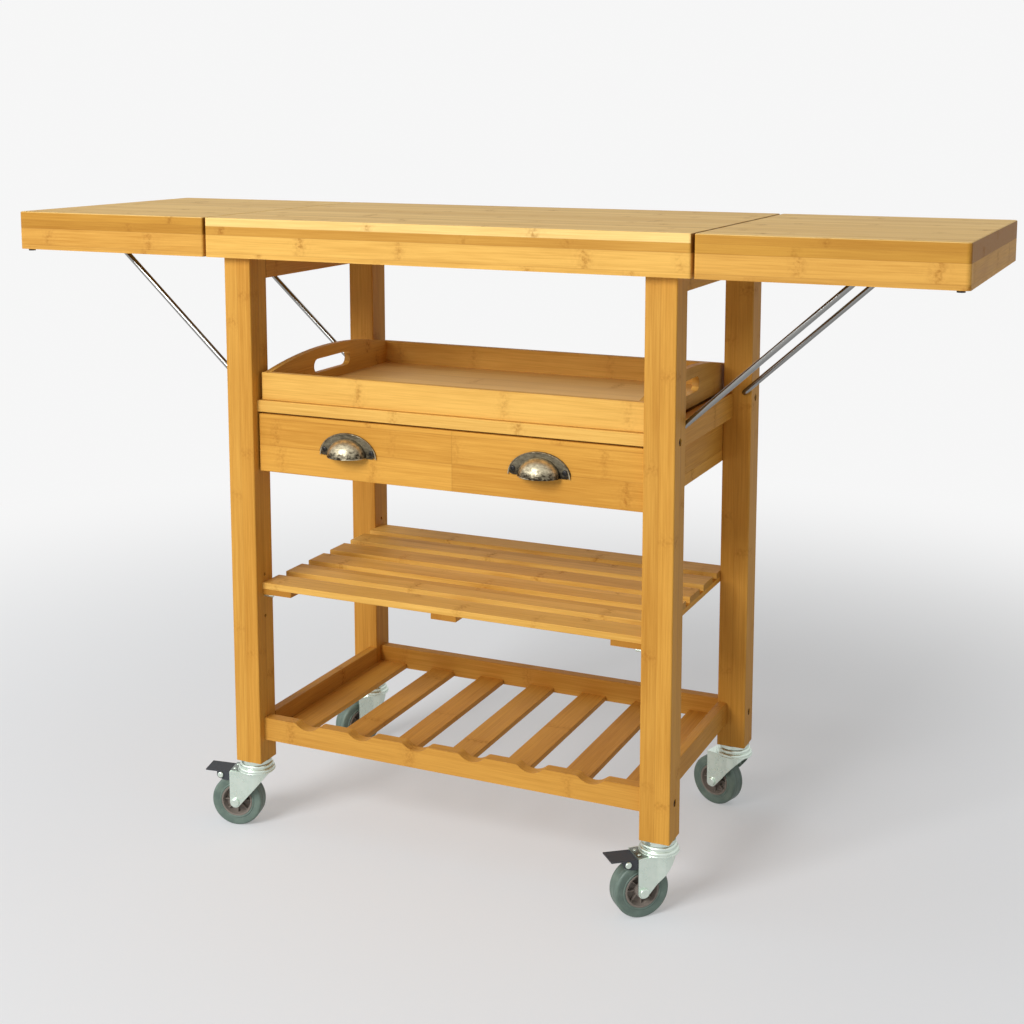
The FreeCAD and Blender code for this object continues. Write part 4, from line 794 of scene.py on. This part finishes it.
class ISLAND_OT_rack(bpy.types.Operator):
    """Finishes the rack at the bottom, with its dipped front rail"""
    bl_idname = "island.rack"
    bl_label = "Bottle rack"

    def execute(self, context):
        # The rack's colour is darker than the frame's as painted shade for the weaker light near the floor.
        rack, rail_strips = colours().rack, (31 * MM, 35 * MM)
        slat_strips = (43.6 * MM, 19 * MM)
        for seed, name in ((167, "rack_front_rail"), (173, "rack_back_rail")):
            lay(name, "x", rack, rail_strips, seed, aside=2 * MM, beside="rack_front_rail", node_gap=0.25)
        lay("rack_side_rails", "y", rack, rail_strips, 179, start=STRIP_ORIGIN, beside="rack_front_rail")
        lay("rack_slats", "y", rack, slat_strips, 181, under=3 * MM, start=-slat_strips[0] / 2,
            beside="rack_front_rail", node_gap=0.25)
        return {"FINISHED"}


# ---------------------------------------------------------------- fittings

class ISLAND_OT_leaf_fittings(bpy.types.Operator):
    """Finishes the wire bails, the hinges, the bolts and the rubber bumpers"""
    bl_idname = "island.leaf_fittings"
    bl_label = "Bails, hinges and bolts"

    def execute(self, context):
        steel = shared("polished_rod", polished_steel, colours().rod)
        rubber = shared("bumper_rubber", moulded, colours().bumper, grain_scale=1400, roughness=0.62,
                        depth=0.00003)
        dress(zinc(), "hinge_frame_plates", "hinge_frame_screws", "caster_mounts")
        for side in SIDES:
            dress(steel, side + "_bail")
            dress(zinc(), side + "_hinge_plates", side + "_hinge_screws")
            dress(rubber, side + "_leaf_bumpers")
        dress(black_steel(), "frame_bolts")
        return {"FINISHED"}


class ISLAND_OT_pulls(bpy.types.Operator):
    """Finishes the two cup pulls and adds their beaded edges and cross-recessed screws"""
    bl_idname = "island.pulls"
    bl_label = "Cup pulls"

    def execute(self, context):
        size, colour = sizes(), colours()
        # Height of the painted highlight on the cups.
        highlight_height = pull_low.z + size.pull_rise * 0.62
        brass = aged_brass("aged_brass", colour.brass, colour.brass_dark, highlight_height, pull_high.y)
        # The beads are paler, with their painted highlight round the foot of the pulls.
        rim = aged_brass("aged_brass_edge", shade(colour.brass, 0.75), shade(colour.brass_dark, 5),
                         pull_low.z, drawer_high.y)
        dress(brass, "cup_pulls")
        centre = pull_high.x - size.pull_half
        plate_face = screw_low.y + 1.8 * MM
        thick = size.pull_bead
        beads = bmesh.new()
        for sign in (-1, 1):
            crown = bead(beads, size.pull_half - thick, size.pull_rise - thick, thick, math.pi, PULL_STEPS)
            upright = (Matrix.Translation((centre * sign, plate_face, pull_low.z))
                       @ Matrix.Rotation(math.pi / 2, 4, "X"))
            bmesh.ops.transform(beads, matrix=upright, verts=crown)
            lip = bead(beads, size.cup_half - thick, size.cup_depth - thick, thick, math.pi, PULL_STEPS)
            level = (Matrix.Translation((centre * sign, plate_face + 2 * MM, pull_low.z + thick))
                     @ Matrix.Rotation(math.pi, 4, "Z"))
            bmesh.ops.transform(beads, matrix=level, verts=lip)
        piece("pull_beads", beads, "drawer", rim)
        outer = screw_high.x - size.screw_head
        inner = 2 * centre - outer
        screw_z = (screw_low.z + screw_high.z) / 2
        heads = [cross_head((x, plate_face, screw_z), FRONT, turn=0.5 + count * 0.9, radius=size.screw_head,
                            height=1.7 * MM, arm=2.3 * MM, slot=0.5 * MM)
                 for count, x in enumerate((-outer, -inner, inner, outer))]
        piece("pull_screw_heads", joined(heads), "drawer", black_steel(),
              replaces=("pull_screws",))
        return {"FINISHED"}


# ---------------------------------------------------------------- casters

def stepped(place, radius, *steps):
    """Points of an outline at steps in millimetres from one place along the axle and one radius."""
    return [(place + aside * MM, radius + out * MM) for aside, out in steps]


def both_halves(side):
    """A whole outline from its half on the positive side of the middle."""
    return side + [(-place, radius) for place, radius in reversed(side)]


def tyre_outline(size):
    """Side walls with a ridge, round shoulders and two lines in the tread."""
    half, bore, tread, rounding = size.tyre_half, size.tyre_bore, size.tyre_radius, size.tyre_shoulder
    wall = stepped(half, bore, (-0.7, 0), (0, 1.2), (0, 2.2), (-0.8, 3.2), (-0.3, 5.0))
    wall += stepped(half, tread - rounding, (-0.1, -1.5))
    for step in range(SHOULDER_STEPS + 1):
        angle = math.pi / 2 * step / SHOULDER_STEPS
        wall.append((half - rounding + rounding * math.cos(angle), tread - rounding
                     + rounding * math.sin(angle)))
    line = half * 0.42
    line_floor = stepped(line, tread - size.groove, (0.3, 0), (-0.3, 0))
    return both_halves(wall + stepped(line, tread, (0.7, 0)) + line_floor + stepped(line, tread, (-0.7, 0)))


def hub_outline(size):
    """A rim flange, a sunk web and the boss round the axle."""
    end = size.hub_boss_half
    boss = [(end, size.hub_bore)] + stepped(end, size.hub_boss, (0, -1.2), (-0.9, 0))
    web = stepped(0, size.hub_boss, (4.6, 0.2), (3.6, 1.4))
    web += stepped(0, size.tyre_bore, (3.5, -5.6), (4.6, -4.8))
    rim = stepped(size.tyre_half, size.tyre_bore, (-1.2, -3.0), (-0.2, -2.6), (0, -1.9), (0, -0.7), (-0.8, 0))
    return both_halves(boss + web + rim)


def hub_rib(size, count):
    """One rib between boss and rim, on both sides of the web."""
    rib = bmesh.new()
    near, far = 2.6 * MM, 7.6 * MM
    half, foot, head = size.hub_rib / 2, size.hub_boss - 0.5 * MM, size.tyre_bore - 4.0 * MM
    for low, high in ((near, far), (-far, -near)):
        block(rib, (low, -half, foot), (high, half, head), softened=0.3 * MM)
    spoke = Matrix.Rotation(math.tau * count / size.hub_ribs, 4, "X")
    bmesh.ops.transform(rib, matrix=spoke, verts=rib.verts)
    return rib


def lip(mesh, radius, thickness, height):
    """A rolled lip round the swivel axis."""
    ring = bead(mesh, radius, radius, thickness, math.tau, RING_STEPS)
    bmesh.ops.translate(mesh, verts=ring, vec=(0, 0, height))


class ISLAND_OT_wheels(bpy.types.Operator):
    """Makes the tyres with their moulded lines and the ribbed hubs"""
    bl_idname = "island.wheels"
    bl_label = "Wheels"

    def execute(self, context):
        size = sizes()
        rubber = shared("tyre_rubber", tyre_rubber, colours().tyre)
        plastic = shared("hub_plastic", moulded, colours().hub, grain_scale=700, roughness=0.42,
                         depth=0.00004, lift=1.5)
        for corner in CORNERS:
            place = wheel_place(corner)
            tyre = turned(tyre_outline(size), TYRE_STEPS)
            piece("wheel_tyre_" + corner, tyre, "wheel_" + corner, rubber, place,
                  ("tyre_" + corner,))
            solids = [turned(hub_outline(size), HUB_STEPS)]
            solids += [hub_rib(size, count) for count in range(size.hub_ribs)]
            piece("wheel_hub_" + corner, joined(solids), "wheel_" + corner, plastic, place,
                  ("hub_" + corner,))
        return {"FINISHED"}


class ISLAND_OT_casters(bpy.types.Operator):
    """Finishes the forks and pedals and adds the swivel's lips, the brake plates and their rivets"""
    bl_idname = "island.casters"
    bl_label = "Caster forks and pedals"

    def execute(self, context):
        size = sizes()
        pedal = shared("pedal_plastic", moulded, colours().pedal, grain_scale=1100, roughness=0.40,
                       depth=0.00004, lift=1.6)
        dull = shared("dull_zinc", plated_zinc, shade(colours().zinc, 0.30))
        plate_top = size.race_low + size.plate_thick
        rivet_x = -(size.race_radius + size.plate_back) / 2
        for corner in CORNERS:
            dress(zinc(), "caster_fork_" + corner)
            lips = bmesh.new()
            lip(lips, size.race_radius - 0.2 * MM, size.race_lip, size.race_low + size.race_lip * 1.6)
            lip(lips, size.cap_radius, 0.5 * MM, size.race_high + 0.3 * MM)
            piece("swivel_lips_" + corner, lips, "caster_" + corner, zinc(), caster_place(corner))
        for corner in FRONT_CORNERS:
            dress(pedal, "brake_pedal_" + corner)
            place = caster_place(corner)
            plate = bmesh.new()
            block(plate, (-size.plate_back, -size.plate_half, size.race_low),
                  (-size.plate_front, size.plate_half, plate_top), softened=0.25 * MM)
            piece("brake_plate_" + corner, plate, "caster_" + corner, dull, place)
            rivets = bmesh.new()
            for rivet_y in (-7.5 * MM, 7.5 * MM):
                dome(rivets, (rivet_x, rivet_y, plate_top), UP, size.rivet, height=1.2 * MM)
            piece("plate_rivets_" + corner, rivets, "caster_" + corner, zinc(), place)
        return {"FINISHED"}


# ---------------------------------------------------------------- studio

LAMP_AIM = (0, 0, 0.45)
FLOOR_RADIUS = 12
FADE_STARTS, FADE_ENDS = 0.6, 2.3                # from the origin, where the floor fades into the backdrop


class ISLAND_OT_stage(bpy.types.Operator):
    """Makes the camera, the soft lamps, the pale floor and the surroundings"""
    bl_idname = "island.stage"
    bl_label = "Studio"

    def camera(self):
        """The photograph's viewpoint, found from the edges of the worktop, legs and rails.

        The shift is less than the photograph's, so that the object stays whole from other sides.
        """
        view = bpy.data.cameras.new("camera")
        view.lens = 55.35
        view.shift_y = -0.175
        view.clip_end = 60
        holder = linked("camera", view)
        holder.location = (0.939, -2.009, 1.038)
        holder.rotation_euler = (math.radians(90 - 7.96), 0, math.radians(24.39))
        bpy.context.scene.camera = holder

    def lamp(self, name, power, size, place):
        light = bpy.data.lights.new(name, "AREA")
        light.energy = power
        light.size = size
        holder = linked(name, light)
        holder.location = place
        holder.rotation_euler = (Vector(LAMP_AIM) - Vector(place)).to_track_quat("-Z", "Y").to_euler()

    def surroundings(self):
        """The backdrop's white for the eye, and a weaker light on the object."""
        world = bpy.data.worlds.new("surroundings")
        bpy.context.scene.world = world
        world.use_nodes = True
        nodes = Nodes(world.node_tree)
        backdrop = world.node_tree.nodes["Background"]
        backdrop.inputs["Color"].default_value = solid((1, 1, 1))
        shown, sky = studio().backdrop[0], studio().sky
        nodes.feed(backdrop.inputs["Strength"], nodes.seen() * (shown - sky) + sky)

    def floor(self):
        """A wide disc that keeps the object's shadow and fades into the surroundings."""
        finish = Finish("studio_floor")
        distance = (finish.x * finish.x + finish.y * finish.y).maths("SQRT")
        fade = distance.rising(FADE_STARTS, FADE_ENDS) * (1 - studio().veil) + studio().veil
        veil = finish.node("ShaderNodeEmission", sockets={"Color": solid(studio().backdrop), "Strength": 1.0})
        blend = finish.node("ShaderNodeMixShader", sockets={0: fade * finish.seen()})
        finish.feed(blend.inputs[1], finish.surface.outputs[0])
        finish.feed(blend.inputs[2], veil.outputs[0])
        finish.feed(finish.tree.nodes["Material Output"].inputs["Surface"], blend.outputs[0])
        disc = bmesh.new()
        bmesh.ops.create_circle(disc, cap_ends=True, segments=128, radius=FLOOR_RADIUS)
        made = meshed("floor", disc, finish.set(studio().floor, roughness=0.75, specular=0.2))

    def execute(self, context):
        context.scene.view_settings.view_transform = "Standard"
        self.camera()
        self.lamp("key", studio().key, 2.6, (-1.6, -5.2, 3.5))
        self.lamp("fill", studio().fill, 2.4, (-3.2, -1.4, 1.8))
        self.surroundings()
        self.floor()
        return {"FINISHED"}


# ---------------------------------------------------------------- add-on

class ISLAND_PT_panel(bpy.types.Panel):
    """Lists the island's pieces and what can be changed"""
    bl_idname = "ISLAND_PT_panel"
    bl_label = "Kitchen Island"
    bl_space_type = "VIEW_3D"
    bl_region_type = "UI"
    bl_category = "Island"

    def draw(self, context):
        for operator in PIECES:
            self.layout.operator(operator.bl_idname)
        for group in (sizes(), colours(), studio()):
            box = self.layout.box()
            for name in group.__annotations__:
                box.prop(group, name)


PIECES = (ISLAND_OT_stage, ISLAND_OT_worktop, ISLAND_OT_frame, ISLAND_OT_drawer, ISLAND_OT_tray,
          ISLAND_OT_shelf, ISLAND_OT_rack, ISLAND_OT_leaf_fittings, ISLAND_OT_pulls, ISLAND_OT_wheels,
          ISLAND_OT_casters)
GROUPS = (("island_sizes", IslandSizes), ("island_colours", IslandColours), ("island_studio", IslandStudio))


def register():
    for name, group in GROUPS:
        bpy.utils.register_class(group)
        setattr(bpy.types.Scene, name, PointerProperty(type=group))
    for thing in PIECES + (ISLAND_PT_panel,):
        bpy.utils.register_class(thing)


def unregister():
    for thing in reversed(PIECES + (ISLAND_PT_panel,)):
        bpy.utils.unregister_class(thing)
    for name, group in reversed(GROUPS):
        delattr(bpy.types.Scene, name)
        bpy.utils.unregister_class(group)


def main():
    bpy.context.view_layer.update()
    register()
    for operator in PIECES:
        family, action = operator.bl_idname.split(".")
        getattr(getattr(bpy.ops, family), action)()


if __name__ == "__main__":
    main()
